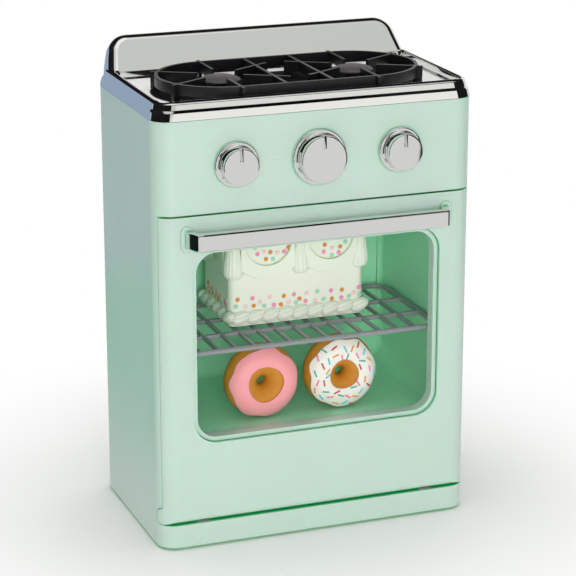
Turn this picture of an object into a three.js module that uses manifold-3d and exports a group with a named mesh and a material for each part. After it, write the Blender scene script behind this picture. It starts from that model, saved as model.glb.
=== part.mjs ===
// Toy oven for pretend play: a moulded cabinet with a chromed hob and backsplash, a drop-down door,
// three turning knobs, a rack, a cake and two doughnuts.
// Units are millimetres. +X is the viewer's right, the door faces -Y and +Z is up.
// The origin is the centre of the base plate's flat underside.

import Module from 'manifold-3d';
import * as THREE from 'three';
import { mergeVertices } from 'three/addons/utils/BufferGeometryUtils.js';

const wasm = await Module();
wasm.setup();

// Gaps between pieces
const seatGap = 0.3;
const seamGap = 0.5;
const cutOverrun = 1;

// Cabinet
const cabinetWidth = 220;
const cabinetDepth = 132;
const cabinetTop = 289.5;
const cabinetCornerRadius = 13;
const cabinetWall = 3;
const skirtGap = 1.5;
const shelfThickness = 2.5;
const shelfDepth = 16;
const postRadius = 5;
const tabThickness = 3;
const tabDrop = 9.5;
const tabReach = 15;

// Base plate
const baseThickness = 4;

// Rear opening and its cover
const rearSideInset = 16;
const rearBottom = 20;
const rearTopDrop = 19.5;
const rearCornerRadius = 6;
const rearLipDepth = 3;
const rearLipWidth = 8;
const rearScrewRows = 3;

// Door
const doorThickness = 11;
const doorSkinDepth = 5.5;
const doorSideGap = 0.6;
const doorWall = 3;
const panelHeight = 61.5;
const doorHingeHeight = 23;
const doorPocketBottom = 29.5;
const doorInnerThickness = 2.5;
const doorBossRadius = 3.6;
const doorBossSideInset = 15;
const doorBossTopInset = 12;
const doorBossRise = 22;

// Window in the door
const windowSideInset = 26.7;
const windowBottom = 75.6;
const windowTopInset = 26.5;
const windowCornerRadius = 13.5;
const windowStep = 3.2;
const windowRecess = 2.6;
const windowChamfer = 1;

// Door handle
const handleOverlap = 3.9;
const handleDrop = 21;
const handleHeight = 11.5;
const handleReach = 13;
const handleBarDepth = 5.5;
const handleSplay = 4.6;
const handleLegWidth = 6.3;
const handleChamfer = 1.2;
const handleScrewInset = 3.8;
const padWidth = 8;
const padHeight = 17;
const padThickness = 1.2;

// Hinge of the door
const hingeSideInset = 30;
const hingeLugWidth = 8;
const hingeLugRadius = 3.4;
const hingeLugNeck = 4.2;
const hingePinRadius = 1.5;
const hingePinLength = 17;
const hingeClearance = 0.1;
const hingeSideGap = 0.4;

// Magnetic door catch
const catchHalfWidth = 10;
const catchHeight = 8;
const catchDrop = 11;
const catchMagnetDepth = 4;
const catchPocketWall = 1.5;
const catchPlateThickness = 1;

// Oven cavity, moulded in one piece with the frame behind the door
const cavitySideInset = 13.4;
const cavityFloor = 74;
const cavityCeilingDrop = 22;
const cavityBackInset = 8.5;
const cavityFloorRadius = 12;
const cavityBackRadius = 5;
const linerWall = 2;
const ledgeWidth = 3.6;
const ledgeThickness = 2.6;
const ledgeFrontInset = 4;

// Rack
const rackGap = 0.8;
const rackWireRadius = 1.8;
const rackBarHalf = 1.3;
const rackEdgeSpace = 17.2;
const rackBarsEachSide = 6;
const rackBackGap = 7.7;
const rackFrontGap = 2.2;
const rackCornerRadius = 9;
const rackLevel = 129.7;
const rackCrossShares = [0.32, 0.64];

// Hob and backsplash
const hobOverhang = 0.3;
const hobBandHeight = 4.9;
const hobGrooveDepth = 0.7;
const hobGrooveHeight = 1.4;
const hobWallLean = 2.3;
const hobEdgeRadius = 2.8;
const hobHeight = 11.8;
const panDepth = 7.6;
const panInset = 6.4;
const panBackInset = 24;
const panCornerRadius = 7;
const panFillet = 3;
const hobSkin = 2.4;
const hobSpigotDepth = 4;
const hobBossRadius = 4;
const splashRise = 22.9;
const splashLean = 18.1;
const splashBaseInset = 3;
const splashTopInset = 8.7;
const splashCornerRadius = 12;
const splashEdgeRadius = 4.8;

// Grate over both burners
const burnerBackShift = 0.8;
const grateSideInset = 13.85;
const grateDepthInset = 7.8;
const grateRise = 4;
const grateHeight = 6.9;
const grateWall = 2.3;
const grateArmWidth = 2.2;
const grateArmReach = 3.4;
const grateArmInner = 19.5;
const grateArms = 6;
const grateCrossShare = 0.715;
const grateFootLength = 5.9;

// Burners
const burnerCapRadius = 13.5;
const burnerCapRise = 3;
const burnerCapHeight = 3.8;
const burnerStemRadius = 3;
const burnerBaseRadius = 9;
const burnerBaseHeight = 2.5;
const burnerHubHeight = 4.5;

// Knobs
const knobDrop = 30.3;
const knobSideInset = 53.7;
const sideKnobRadius = 12;
const sideBezelRadius = 15;
const centreKnobRadius = 15.5;
const centreBezelRadius = 18.5;
const knobProjection = 12;
const knobEdgeRadius = 3;
const knobShaftRadius = 4;
const knobShaftClearance = 0.1;
const knobNotchWidth = 2.5;
const knobNotchLength = 6.5;
const knobNotchDepth = 1.3;
const bezelThickness = 2.3;
const bezelStepHeight = 0.8;
const bezelSpigotWall = 2.4;
const retainerRadius = 8;
const retainerThickness = 1.5;

// Screws
const screwHeadRadius = 2.7;
const screwHeadHeight = 1.3;
const screwShankRadius = 1.2;
const screwPilotGap = 0.1;
const screwPassGap = 0.4;
const baseScrewLength = 9;
const rearScrewLength = 4.4;
const hobScrewLength = 8;
const doorScrewLength = 5.4;
const handleScrewLength = 7.2;
const knobScrewLength = 7;

// Cake
const cakeHalfWidth = 48.5;
const cakeHalfDepth = 28;
const cakeX = 5.5;
const cakeY = 15;
const cakeHeight = 64;
const cakeCornerRadius = 5;
const cakeTopRadius = 3;
const shellPitch = 10.8;
const shellHeight = 12;
const shellProud = 4.2;
const swagDrop = 31.2;
const swagLowerRadius = 30.7;
const swagUpperRadius = 16.8;
const swagThickness = 8.3;
const swagProud = 2.4;
const tasselRadius = 6.2;
const tasselProud = 3.1;
const tasselDrop = 31;

// Doughnuts
const doughnutRadius = 26;
const doughnutHoleRadius = 5.5;
const doughnutThickness = 22;
const doughnutX = 28.3;
const doughnutY = -31;
const icingThickness = 1.3;
const pinkIcingHoleRadius = 12.8;
const whiteIcingHoleRadius = 10.7;
const icingOuterRadius = 24;
const icingWaves = 7;
const icingWaveAngle = 0.16;

// Facets per full turn or per quarter corner
const cornerSteps = 4;
const roundSteps = 16;
const screwSteps = 8;
const wireSteps = 6;
const bevelSteps = 2;

// Places that several pieces share
const halfWidth = cabinetWidth / 2;
const halfDepth = cabinetDepth / 2;
const front = -halfDepth;
const doorTop = cabinetTop - panelHeight;
const rearHalfWidth = halfWidth - rearSideInset;
const rearTop = cabinetTop - rearTopDrop;
const doorBack = front + doorThickness;
const bayBack = doorBack + seamGap;
const sideSeamFront = front + doorSkinDepth;
const sideSeamBack = sideSeamFront + seamGap;
const hingeY = front + doorThickness / 2;
const doorBottom = doorHingeHeight - doorThickness / 2;
const plinthTop = doorBottom - seamGap;
const panelBottom = doorTop + seamGap;
const innerCornerRadius = cabinetCornerRadius - cabinetWall;
const cornerCentreX = halfWidth - cabinetCornerRadius;
const cornerCentreY = halfDepth - cabinetCornerRadius;
const sideSeamDrop = -sideSeamBack - cornerCentreY;
const doorCoreHalfWidth = cornerCentreX
  + Math.sqrt(innerCornerRadius ** 2 - sideSeamDrop ** 2) - doorSideGap;
const postShift = (innerCornerRadius - postRadius + cabinetWall / 2) * Math.SQRT1_2;
const postX = cornerCentreX + postShift;
const postY = cornerCentreY + postShift;
const doorBossX = halfWidth - doorBossSideInset;
const doorBossLow = doorHingeHeight + doorBossRise;
const doorBossHigh = doorTop - doorBossTopInset;
const doorBossHeights = [doorBossLow, (doorBossLow + doorBossHigh) / 2, doorBossHigh];
const hingeX = halfWidth - hingeSideInset;
const catchLevel = doorTop - catchDrop;
const cavityHalfWidth = halfWidth - cavitySideInset;
const cavityCeiling = doorTop - cavityCeilingDrop;
const cavityBack = halfDepth - cavityBackInset;
const knobLevel = cabinetTop - knobDrop;
const knobSpacing = halfWidth - knobSideInset;
const hobBottom = cabinetTop + seatGap;
const hobRimTop = hobBottom + hobHeight;
const panLevel = hobRimTop - panDepth;
const panHalfWidth = halfWidth - panInset;
const panFront = front + panInset;
const panBack = halfDepth - panBackInset;
const grateRadius = (panBack - panFront) / 2 - grateDepthInset;
const burnerX = panHalfWidth - grateSideInset - grateRadius;
const burnerY = (panBack + panFront) / 2 + burnerBackShift;
const grateTop = hobRimTop + grateRise;
const grateArmOuter = grateRadius + grateArmReach;
const burnerCapTop = hobRimTop + burnerCapRise;
const hobBossX = cornerCentreX;
const hobBossY = cornerCentreY;
const tabTop = cabinetTop - tabDrop;
const pilotRadius = screwShankRadius + screwPilotGap;
const passRadius = screwShankRadius + screwPassGap;
const headPocketRadius = screwHeadRadius + screwPassGap;
const headPocketDepth = screwHeadHeight + seatGap;
const windowHalfWidth = halfWidth - windowSideInset;
const windowTop = doorTop - windowTopInset;
const windowCentre = (windowTop + windowBottom) / 2;
const windowHalfHeight = (windowTop - windowBottom) / 2;
const rackTop = rackLevel + rackWireRadius;
const cakeBottom = rackTop + seatGap;
const handleHalfWidth = windowHalfWidth + handleOverlap;
const handleBottom = doorTop - handleDrop;
const handleBack = front - padThickness - seatGap;
const handleCentre = handleBottom + handleHeight / 2;
const corners = [[-1, -1], [1, -1], [-1, 1], [1, 1]];
const sides = [-1, 1];

// Makes a solid from a closed geometry, for cutting and joining
function solidOf(geometry) {
  const bare = geometry.clone();
  bare.deleteAttribute('normal');
  bare.deleteAttribute('uv');
  const welded = mergeVertices(bare);
  const source = welded.index.array;
  const kept = [];
  for (let i = 0; i < source.length; i += 3) {
    const [a, b, c] = [source[i], source[i + 1], source[i + 2]];
    if (a !== b && b !== c && c !== a) kept.push(a, b, c);
  }
  return new wasm.Manifold(new wasm.Mesh({
    numProp: 3,
    vertProperties: new Float32Array(welded.attributes.position.array),
    triVerts: new Uint32Array(kept),
  }));
}

// The finished solid's mesh, with its flat faces drawn in as few triangles as they need
function geometryOf(solid) {
  const mesh = solid.asOriginal().simplify().getMesh();
  const geometry = new THREE.BufferGeometry();
  geometry.setAttribute('position', new THREE.BufferAttribute(mesh.vertProperties, mesh.numProp));
  geometry.setIndex(new THREE.BufferAttribute(mesh.triVerts, 1));
  return geometry;
}

function joined(solids) {
  return solids.reduce((whole, piece) => whole.add(piece));
}

// Basic solids in the object's frame
function box(xMin, xMax, yMin, yMax, zMin, zMax) {
  const geometry = new THREE.BoxGeometry(xMax - xMin, yMax - yMin, zMax - zMin);
  geometry.translate((xMin + xMax) / 2, (yMin + yMax) / 2, (zMin + zMax) / 2);
  return solidOf(geometry);
}

function roundedRectangle(reachX, reachY, radius, centreX = 0, centreY = 0) {
  const shape = new THREE.Shape();
  const x = reachX - radius;
  const y = reachY - radius;
  shape.absarc(centreX + x, centreY - y, radius, -Math.PI / 2, 0);
  shape.absarc(centreX + x, centreY + y, radius, 0, Math.PI / 2);
  shape.absarc(centreX - x, centreY + y, radius, Math.PI / 2, Math.PI);
  shape.absarc(centreX - x, centreY - y, radius, Math.PI, Math.PI * 1.5);
  shape.closePath();
  return shape;
}

function extruded(shape, length, bevel = 0) {
  return new THREE.ExtrudeGeometry(shape, {
    depth: length - bevel * 2,
    steps: 1,
    curveSegments: cornerSteps,
    bevelEnabled: bevel > 0,
    bevelThickness: bevel,
    bevelSize: bevel,
    bevelOffset: -bevel,
    bevelSegments: bevelSteps,
  }).translate(0, 0, bevel);
}

// A shape drawn in plan, raised from one level to another
function prismUp(shape, bottom, top, bevel = 0) {
  return solidOf(extruded(shape, top - bottom, bevel).translate(0, 0, bottom));
}

// A shape drawn as seen from the front, running from a front plane to a back plane
function prismBack(shape, yFront, yBack, bevel = 0) {
  const turn = new THREE.Matrix4().makeBasis(
    new THREE.Vector3(1, 0, 0),
    new THREE.Vector3(0, 0, 1),
    new THREE.Vector3(0, -1, 0),
  );
  return solidOf(extruded(shape, yBack - yFront, bevel).applyMatrix4(turn).translate(0, yBack, 0));
}

// A shape drawn as a side view, with Y across and Z up, running from left to right
function prismAcross(shape, xLeft, xRight) {
  const turn = new THREE.Matrix4().makeBasis(
    new THREE.Vector3(0, 1, 0),
    new THREE.Vector3(0, 0, 1),
    new THREE.Vector3(1, 0, 0),
  );
  return solidOf(extruded(shape, xRight - xLeft).applyMatrix4(turn).translate(xLeft, 0, 0));
}

function rodUp(radius, x, y, bottom, top, steps = screwSteps) {
  const geometry = new THREE.CylinderGeometry(radius, radius, top - bottom, steps);
  return solidOf(geometry.rotateX(Math.PI / 2).translate(x, y, (top + bottom) / 2));
}

function rodBack(radius, x, z, yFront, yBack, steps = screwSteps) {
  const geometry = new THREE.CylinderGeometry(radius, radius, yBack - yFront, steps);
  return solidOf(geometry.translate(x, (yFront + yBack) / 2, z));
}

function rodAcross(radius, y, z, xLeft, xRight, steps = screwSteps) {
  const geometry = new THREE.CylinderGeometry(radius, radius, xRight - xLeft, steps);
  return solidOf(geometry.rotateZ(Math.PI / 2).translate((xLeft + xRight) / 2, y, z));
}

// A turned piece about its own Z axis, from a profile of [radius, height] pairs listed upwards
function turned(profile, steps = roundSteps) {
  const points = profile.map(([radius, height]) => new THREE.Vector2(radius, height));
  return new THREE.LatheGeometry(points, steps).rotateX(Math.PI / 2);
}

// Joins rings of equally many points into a skin, closed by flat ends or back to its first ring
function skinned(rings, closed) {
  const count = rings[0].length;
  const positions = rings.flat().flatMap((point) => [point.x, point.y, point.z]);
  const index = [];
  const spans = closed ? rings.length : rings.length - 1;
  for (let ring = 0; ring < spans; ring += 1) {
    const here = ring * count;
    const next = ((ring + 1) % rings.length) * count;
    for (let i = 0; i < count; i += 1) {
      const j = (i + 1) % count;
      index.push(here + i, here + j, next + j, here + i, next + j, next + i);
    }
  }
  if (!closed) {
    const last = (rings.length - 1) * count;
    for (let i = 1; i < count - 1; i += 1) {
      index.push(0, i + 1, i);
      index.push(last, last + i, last + i + 1);
    }
  }
  const geometry = new THREE.BufferGeometry();
  geometry.setAttribute('position', new THREE.Float32BufferAttribute(positions, 3));
  geometry.setIndex(index);
  return geometry;
}

// A rounded rectangle as a ring of points at one level, centred on x = 0
function planRing(reachX, yMin, yMax, radius, level) {
  const points = roundedRectangle(reachX, (yMax - yMin) / 2, radius, 0, (yMax + yMin) / 2)
    .getPoints(cornerSteps);
  if (points[0].distanceTo(points[points.length - 1]) < radius / cornerSteps / 2) points.pop();
  return points.map((point) => new THREE.Vector3(point.x, point.y, level));
}

// A stack of plan rings, as [outward offset, level] pairs round a named rectangle
function stacked(reachX, yMin, yMax, radius, steps) {
  const rings = steps.map(([offset, level]) => (
    planRing(reachX + offset, yMin - offset, yMax + offset, radius + offset, level)));
  return solidOf(skinned(rings, false));
}

// Sub-parts of the cabinet

function makeCabinetShell() {
  const outline = roundedRectangle(halfWidth, halfDepth, cabinetCornerRadius);
  const block = prismUp(outline, skirtGap, cabinetTop);
  const hollow = prismUp(
    roundedRectangle(halfWidth - cabinetWall, halfDepth - cabinetWall, innerCornerRadius),
    skirtGap - cutOverrun,
    cabinetTop + cutOverrun,
  );
  const bay = box(-halfWidth - cutOverrun, halfWidth + cutOverrun, front - cutOverrun, sideSeamBack,
    plinthTop, panelBottom);
  const hingeRelief = rodAcross(doorThickness / 2 + seamGap, hingeY, doorHingeHeight,
    -halfWidth - cutOverrun, halfWidth + cutOverrun, roundSteps);
  const shelfBack = front + shelfDepth;
  const shelf = (bottom) => block.intersect(
    box(-halfWidth, halfWidth, front, shelfBack, bottom, bottom + shelfThickness));
  const tab = ([sx, sy]) => block.intersect(box(
    Math.min(sx * halfWidth, sx * (halfWidth - tabReach)),
    Math.max(sx * halfWidth, sx * (halfWidth - tabReach)),
    Math.min(sy * halfDepth, sy * (halfDepth - tabReach)),
    Math.max(sy * halfDepth, sy * (halfDepth - tabReach)),
    tabTop - tabThickness,
    tabTop,
  ));
  const post = ([sx, sy]) => rodUp(postRadius, sx * postX, sy * postY,
    baseThickness + seatGap, plinthTop, roundSteps / 2);

  let shell = block.subtract(hollow).subtract(bay).subtract(hingeRelief);
  shell = joined([shell, shelf(panelBottom), shelf(plinthTop - shelfThickness),
    ...corners.map(tab), ...corners.map(post)]);

  const rearHalfHeight = (rearTop - rearBottom) / 2;
  const rearCentre = (rearTop + rearBottom) / 2;
  const rearShape = (grow) => roundedRectangle(rearHalfWidth + grow, rearHalfHeight + grow,
    rearCornerRadius, 0, rearCentre);
  const wallInside = halfDepth - cabinetWall;
  const lip = prismBack(rearShape(cabinetWall), wallInside - rearLipDepth, wallInside + cabinetWall / 2)
    .subtract(prismBack(rearShape(-rearLipWidth), wallInside - rearLipDepth - cutOverrun,
      halfDepth + cutOverrun));
  shell = shell.subtract(prismBack(rearShape(0), wallInside - cutOverrun, halfDepth + cutOverrun));
  shell = shell.add(lip.subtract(prismBack(rearShape(0), wallInside, halfDepth + cutOverrun)));

  const cuts = [];
  for (const [sx, sy] of corners) {
    cuts.push(rodUp(pilotRadius, sx * postX, sy * postY, baseThickness, plinthTop - shelfThickness));
    cuts.push(rodUp(passRadius, sx * hobBossX, sy * hobBossY, tabTop - tabThickness - cutOverrun,
      tabTop + cutOverrun));
  }
  for (const [x, z] of rearScrewPlaces()) {
    cuts.push(rodBack(pilotRadius, x, z, wallInside - rearLipDepth - cutOverrun, wallInside + cutOverrun));
  }
  for (const knob of knobs) {
    cuts.push(rodBack(knob.spigotRadius + seatGap, knob.x, knobLevel, front - cutOverrun,
      front + cabinetWall + cutOverrun, roundSteps));
  }
  return cuts.reduce((solid, cut) => solid.subtract(cut), shell);
}

function rearScrewPlaces() {
  const x = rearHalfWidth - rearLipWidth / 2;
  const places = [];
  for (let row = 0; row < rearScrewRows; row += 1) {
    const share = row / (rearScrewRows - 1);
    const inset = rearCornerRadius + screwHeadRadius;
    const z = rearBottom + inset + share * (rearTop - rearBottom - inset * 2);
    places.push([-x, z], [x, z]);
  }
  return places;
}

function makeRearCover() {
  const shape = roundedRectangle(rearHalfWidth - seatGap, (rearTop - rearBottom) / 2 - seatGap,
    rearCornerRadius, 0, (rearTop + rearBottom) / 2);
  const inside = halfDepth - cabinetWall + seatGap;
  let cover = prismBack(shape, inside, halfDepth);
  for (const [x, z] of rearScrewPlaces()) {
    cover = cover.subtract(rodBack(passRadius, x, z, inside - cutOverrun, halfDepth));
    cover = cover.subtract(rodBack(headPocketRadius, x, z, halfDepth - headPocketDepth,
      halfDepth + cutOverrun));
  }
  return cover;
}

function makeBasePlate() {
  const inset = cabinetWall + seatGap;
  const shape = roundedRectangle(halfWidth - inset, halfDepth - inset, innerCornerRadius - seatGap);
  let plate = prismUp(shape, 0, baseThickness);
  for (const [sx, sy] of corners) {
    plate = plate.subtract(rodUp(passRadius, sx * postX, sy * postY, 0, baseThickness + cutOverrun));
    plate = plate.subtract(rodUp(headPocketRadius, sx * postX, sy * postY, -cutOverrun,
      headPocketDepth + seatGap));
  }
  return plate;
}

// The frame behind the door, the oven tub and the rack ledges are one moulding
function makeCavityLiner() {
  const reach = halfWidth - cabinetWall - seatGap;
  const flangeBack = bayBack + linerWall;
  const cavityCentre = (cavityCeiling + cavityFloor) / 2;
  const cavityHalfHeight = (cavityCeiling - cavityFloor) / 2;
  const cavityShape = (grow) => roundedRectangle(cavityHalfWidth + grow, cavityHalfHeight + grow,
    cavityFloorRadius + grow, 0, cavityCentre);
  const flange = box(-reach, reach, bayBack, flangeBack, plinthTop + seatGap, panelBottom - seatGap);
  const tub = prismBack(cavityShape(linerWall), bayBack - linerWall - cavityBackRadius,
    cavityBack + linerWall, cavityBackRadius);
  const trimmedTub = tub.subtract(box(-halfWidth, halfWidth, front, bayBack, 0, cabinetTop));
  const hollow = prismBack(cavityShape(0), bayBack - linerWall - cavityBackRadius, cavityBack,
    cavityBackRadius);
  const pocketX = catchHalfWidth + seatGap;
  const pocketZ = catchHeight / 2 + seatGap;
  const pocketBack = bayBack + catchMagnetDepth + seatGap * 2;
  const catchBlock = box(-pocketX - catchPocketWall, pocketX + catchPocketWall, bayBack,
    pocketBack + catchPocketWall, catchLevel - pocketZ - catchPocketWall,
    catchLevel + pocketZ + catchPocketWall);
  const catchPocket = box(-pocketX, pocketX, bayBack - cutOverrun, pocketBack, catchLevel - pocketZ,
    catchLevel + pocketZ);
  const ledgeTop = rackLevel - rackWireRadius - seatGap;
  const ledge = (side) => box(
    Math.min(side * (cavityHalfWidth - ledgeWidth), side * (cavityHalfWidth + linerWall / 2)),
    Math.max(side * (cavityHalfWidth - ledgeWidth), side * (cavityHalfWidth + linerWall / 2)),
    bayBack + ledgeFrontInset,
    cavityBack + linerWall / 2,
    ledgeTop - ledgeThickness,
    ledgeTop,
  );
  const lug = (side) => {
    const left = side * hingeX - hingeLugWidth / 2;
    const right = side * hingeX + hingeLugWidth / 2;
    const eye = rodAcross(hingeLugRadius, hingeY, doorHingeHeight, left, right, roundSteps);
    const neck = box(left, right, hingeY, bayBack + linerWall / 2,
      doorHingeHeight - hingeLugNeck / 2, doorHingeHeight + hingeLugNeck / 2);
    const bore = rodAcross(hingePinRadius + hingeClearance, hingeY, doorHingeHeight,
      left - cutOverrun, right + cutOverrun, roundSteps);
    return eye.add(neck).subtract(bore);
  };
  return joined([flange, trimmedTub, catchBlock])
    .subtract(hollow)
    .subtract(catchPocket)
    .add(joined([...sides.map(ledge), ...sides.map(lug)]));
}

function makeCatchMagnet() {
  return box(-catchHalfWidth, catchHalfWidth, bayBack + seatGap, bayBack + seatGap + catchMagnetDepth,
    catchLevel - catchHeight / 2, catchLevel + catchHeight / 2);
}

function makeCatchPlate() {
  return box(-catchHalfWidth, catchHalfWidth, doorBack - catchPlateThickness, doorBack,
    catchLevel - catchHeight / 2, catchLevel + catchHeight / 2);
}

// Sub-parts of the door

function doorSideView() {
  const shape = new THREE.Shape();
  shape.moveTo(doorBack, doorTop);
  shape.lineTo(front, doorTop);
  shape.lineTo(front, doorHingeHeight);
  const steps = roundSteps / 2;
  for (let step = 1; step <= steps; step += 1) {
    const angle = Math.PI * (1 + step / steps);
    shape.lineTo(hingeY + Math.cos(angle) * doorThickness / 2,
      doorHingeHeight + Math.sin(angle) * doorThickness / 2);
  }
  shape.closePath();
  return shape;
}

function makeDoorOuter() {
  const plan = prismUp(roundedRectangle(halfWidth, halfDepth, cabinetCornerRadius),
    doorBottom - cutOverrun, doorTop + cutOverrun);
  const skin = box(-halfWidth, halfWidth, front, sideSeamFront, doorHingeHeight, doorTop)
    .add(rodAcross(doorThickness / 2, hingeY, doorHingeHeight, -halfWidth, halfWidth, roundSteps));
  const core = prismAcross(doorSideView(), -doorCoreHalfWidth, doorCoreHalfWidth);
  const body = plan.intersect(skin.add(core));
  const pocket = box(-doorCoreHalfWidth + doorWall, doorCoreHalfWidth - doorWall,
    front + doorWall, doorBack + cutOverrun, doorPocketBottom, doorTop - doorWall);
  const pad = (side) => prismBack(
    roundedRectangle(padWidth / 2, padHeight / 2, padWidth / 2,
      side * (handleHalfWidth + handleSplay - handleScrewInset + padWidth / 4), handleCentre),
    front - padThickness,
    front + doorWall / 2,
  );
  const boss = ([x, z]) => rodBack(doorBossRadius, x, z, front + doorWall / 2,
    doorBack - doorInnerThickness - seatGap, roundSteps / 2);
  const notch = (side) => box(
    side * hingeX - hingeLugWidth / 2 - hingeSideGap,
    side * hingeX + hingeLugWidth / 2 + hingeSideGap,
    hingeY - hingeLugRadius - seatGap,
    doorBack + cutOverrun,
    doorBottom - cutOverrun,
    doorHingeHeight + hingeLugRadius + seatGap,
  );
  const pinBore = (side) => rodAcross(hingePinRadius + hingeClearance, hingeY, doorHingeHeight,
    side * hingeX - hingePinLength / 2 - seatGap, side * hingeX + hingePinLength / 2 + seatGap,
    roundSteps);

  let outer = joined([body.subtract(pocket), ...sides.map(pad), ...doorScrewPlaces().map(boss)]);
  outer = outer.subtract(windowCutter());
  for (const [x, z] of doorScrewPlaces()) {
    const bossBack = doorBack - doorInnerThickness - seatGap;
    outer = outer.subtract(rodBack(pilotRadius, x, z, front + doorWall, bossBack + cutOverrun));
  }
  for (const side of sides) {
    outer = outer.subtract(notch(side)).subtract(pinBore(side));
    outer = outer.subtract(rodBack(passRadius, side * handleScrewX(), handleCentre,
      front - padThickness - cutOverrun, front + doorWall + cutOverrun));
  }
  return outer;
}

function doorScrewPlaces() {
  return doorBossHeights.flatMap((z) => sides.map((side) => [side * doorBossX, z]));
}

function handleScrewX() {
  return handleHalfWidth + handleSplay - handleScrewInset;
}

// The opening in the outer skin, chamfered where it meets the front face
function windowCutter() {
  const grown = windowHalfWidth + windowStep;
  const ring = (grow, y) => planRing(grown + grow, windowBottom - windowStep - grow,
    windowTop + windowStep + grow, windowCornerRadius + windowStep + grow, y)
    .map((point) => new THREE.Vector3(point.x, point.z, point.y));
  const rings = [
    ring(0, doorBack + cutOverrun),
    ring(0, front + windowChamfer),
    ring(windowChamfer * 2, front - windowChamfer),
  ];
  return solidOf(skinned(rings, false));
}

function makeDoorInner() {
  const plateHalfWidth = doorCoreHalfWidth - doorWall - seatGap;
  const plateFront = doorBack - doorInnerThickness;
  const plate = box(-plateHalfWidth, plateHalfWidth, plateFront, doorBack,
    doorPocketBottom + seatGap, doorTop - doorWall - seatGap);
  const frameShape = (grow) => roundedRectangle(windowHalfWidth + grow, windowHalfHeight + grow,
    windowCornerRadius + grow, 0, windowCentre);
  const frame = prismBack(frameShape(windowStep - seatGap), front + windowRecess, doorBack);
  let inner = plate.add(frame);
  inner = inner.subtract(prismBack(frameShape(0), front, doorBack + cutOverrun));
  for (const [x, z] of doorScrewPlaces()) {
    inner = inner.subtract(rodBack(passRadius, x, z, plateFront - cutOverrun, doorBack));
    inner = inner.subtract(rodBack(headPocketRadius, x, z, doorBack - headPocketDepth,
      doorBack + cutOverrun));
  }
  const plateX = catchHalfWidth + seatGap;
  const plateZ = catchHeight / 2 + seatGap;
  return inner.subtract(box(-plateX, plateX, doorBack - catchPlateThickness - seatGap,
    doorBack + cutOverrun, catchLevel - plateZ, catchLevel + plateZ));
}

function makeDoorHandle() {
  const faceY = handleBack - handleReach + padThickness;
  const shape = new THREE.Shape();
  shape.moveTo(-handleHalfWidth - handleSplay, handleBack);
  shape.lineTo(-handleHalfWidth, faceY);
  shape.lineTo(handleHalfWidth, faceY);
  shape.lineTo(handleHalfWidth + handleSplay, handleBack);
  shape.lineTo(handleHalfWidth + handleSplay - handleLegWidth, handleBack);
  shape.lineTo(handleHalfWidth - handleChamfer * 3, faceY + handleBarDepth);
  shape.lineTo(-handleHalfWidth + handleChamfer * 3, faceY + handleBarDepth);
  shape.lineTo(-handleHalfWidth - handleSplay + handleLegWidth, handleBack);
  shape.closePath();
  let handle = prismUp(shape, handleBottom, handleBottom + handleHeight, handleChamfer);
  handle = handle.subtract(box(-halfWidth, halfWidth, handleBack, 0, handleBottom - cutOverrun,
    handleBottom + handleHeight + cutOverrun));
  const grip = handleScrewLength - doorWall - padThickness;
  for (const side of sides) {
    handle = handle.subtract(rodBack(pilotRadius, side * handleScrewX(), handleCentre,
      handleBack - grip, handleBack + cutOverrun));
  }
  return handle;
}

// Hob, grate and burners

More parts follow.
